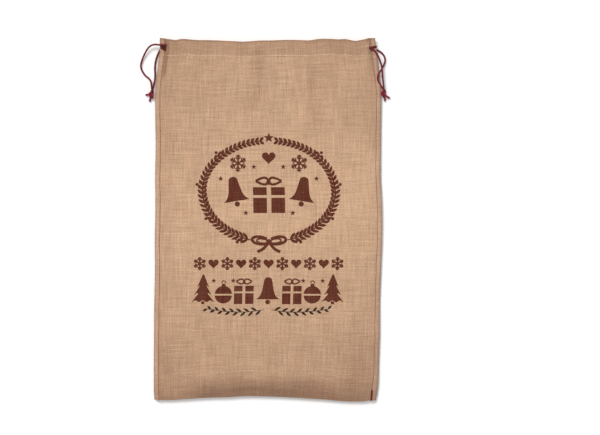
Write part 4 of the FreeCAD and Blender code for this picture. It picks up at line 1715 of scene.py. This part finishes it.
# %% Soft goods
for side, name in NAMES.items():
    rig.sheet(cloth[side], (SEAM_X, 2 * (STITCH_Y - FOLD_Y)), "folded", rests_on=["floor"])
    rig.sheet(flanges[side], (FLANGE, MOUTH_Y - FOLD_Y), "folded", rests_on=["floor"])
    for label in ("front", "back"):
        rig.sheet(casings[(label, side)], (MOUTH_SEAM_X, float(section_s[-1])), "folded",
                 rests_on=[f"{name}_body_cloth"])
    for layer in ("front", "back"):
        piece, line, start = strands[(name, layer)]
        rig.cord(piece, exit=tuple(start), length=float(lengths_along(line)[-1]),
                diameter=2 * CORD_R, far_end="knot", stiffness="limp", lay="loose",
                path=[tuple(p) for p in line[::3]] + [tuple(line[-1])],
                with_pieces=[knots[name], *tail_pieces[name]] if layer == "front" else ())
print("soft pieces declared")

# %% [markdown]
# ## Studio
#
# The sack lies on a white sweep under soft daylight, seen from straight above.  A white floor lit
# like everything else comes out grey, so it glows a little, but only as the camera sees it, and
# the world behind it is plain white in the same way.  One broad sun from the upper left leaves
# the soft shadow along the right and lower edges.

# %% Floor, light and camera
SIDE, UNDER = 6.0, -0.0003       # half the floor's side, and its height just under the cloth
floor = new_mesh("floor", [(-SIDE, -SIDE, UNDER), (SIDE, -SIDE, UNDER), (SIDE, SIDE, UNDER),
                           (-SIDE, SIDE, UNDER)], [(0, 1, 2, 3)], smooth=False)
floor_material, node = new_material("white_sweep")
sweep = finish_surface(node, (0.93, 0.93, 0.93, 1.0), 0.9, None, 0.0, specular=0.0)
FLOOR_GLOW = 0.16
sweep.inputs["Emission Color"].default_value = WHITE
node.set(sweep, sweep.inputs.find("Emission Strength"),
         maths(node, "MULTIPLY", node("ShaderNodeLightPath"), FLOOR_GLOW))
floor.data.materials.append(floor_material)
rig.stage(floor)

WORLD_LIGHT = 0.475      # what the world gives; the camera sees it as plain white, 1
world = bpy.data.worlds.new("studio")
bpy.context.scene.world = world
world.use_nodes = True
nodes, links = world.node_tree.nodes, world.node_tree.links
nodes["Background"].inputs[0].default_value = WHITE
seen, light = nodes.new("ShaderNodeLightPath"), nodes.new("ShaderNodeMath")
light.operation = "MULTIPLY_ADD"
light.inputs[1].default_value = 1.0 - WORLD_LIGHT
light.inputs[2].default_value = WORLD_LIGHT
links.new(seen.outputs["Is Camera Ray"], light.inputs[0])
links.new(light.outputs[0], nodes["Background"].inputs["Strength"])

sun_data = bpy.data.lights.new("key", "SUN")
sun_data.energy = 2.2
sun_data.angle = math.radians(26)
sun_data.color = (1.0, 0.985, 0.965)
sun = bpy.data.objects.new("key", sun_data)
bpy.context.scene.collection.objects.link(sun)
sun.rotation_euler = (math.radians(-32), math.radians(-27), 0.0)

camera_data = bpy.data.cameras.new("camera")
camera = bpy.data.objects.new("camera", camera_data)
bpy.context.scene.collection.objects.link(camera)
camera.location = (0.0728, 0.0060, 3.5)
camera.rotation_euler = (0.0, 0.0, 0.0)
camera_data.lens = 94.4
camera_data.sensor_width = 36.0
bpy.context.scene.camera = camera
bpy.context.scene.view_settings.view_transform = "Standard"
bpy.context.scene.view_settings.look = "None"

# %% Sizes and finish
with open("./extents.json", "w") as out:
    json.dump({"cad": [list(map(float, v)) for v in cad_box],
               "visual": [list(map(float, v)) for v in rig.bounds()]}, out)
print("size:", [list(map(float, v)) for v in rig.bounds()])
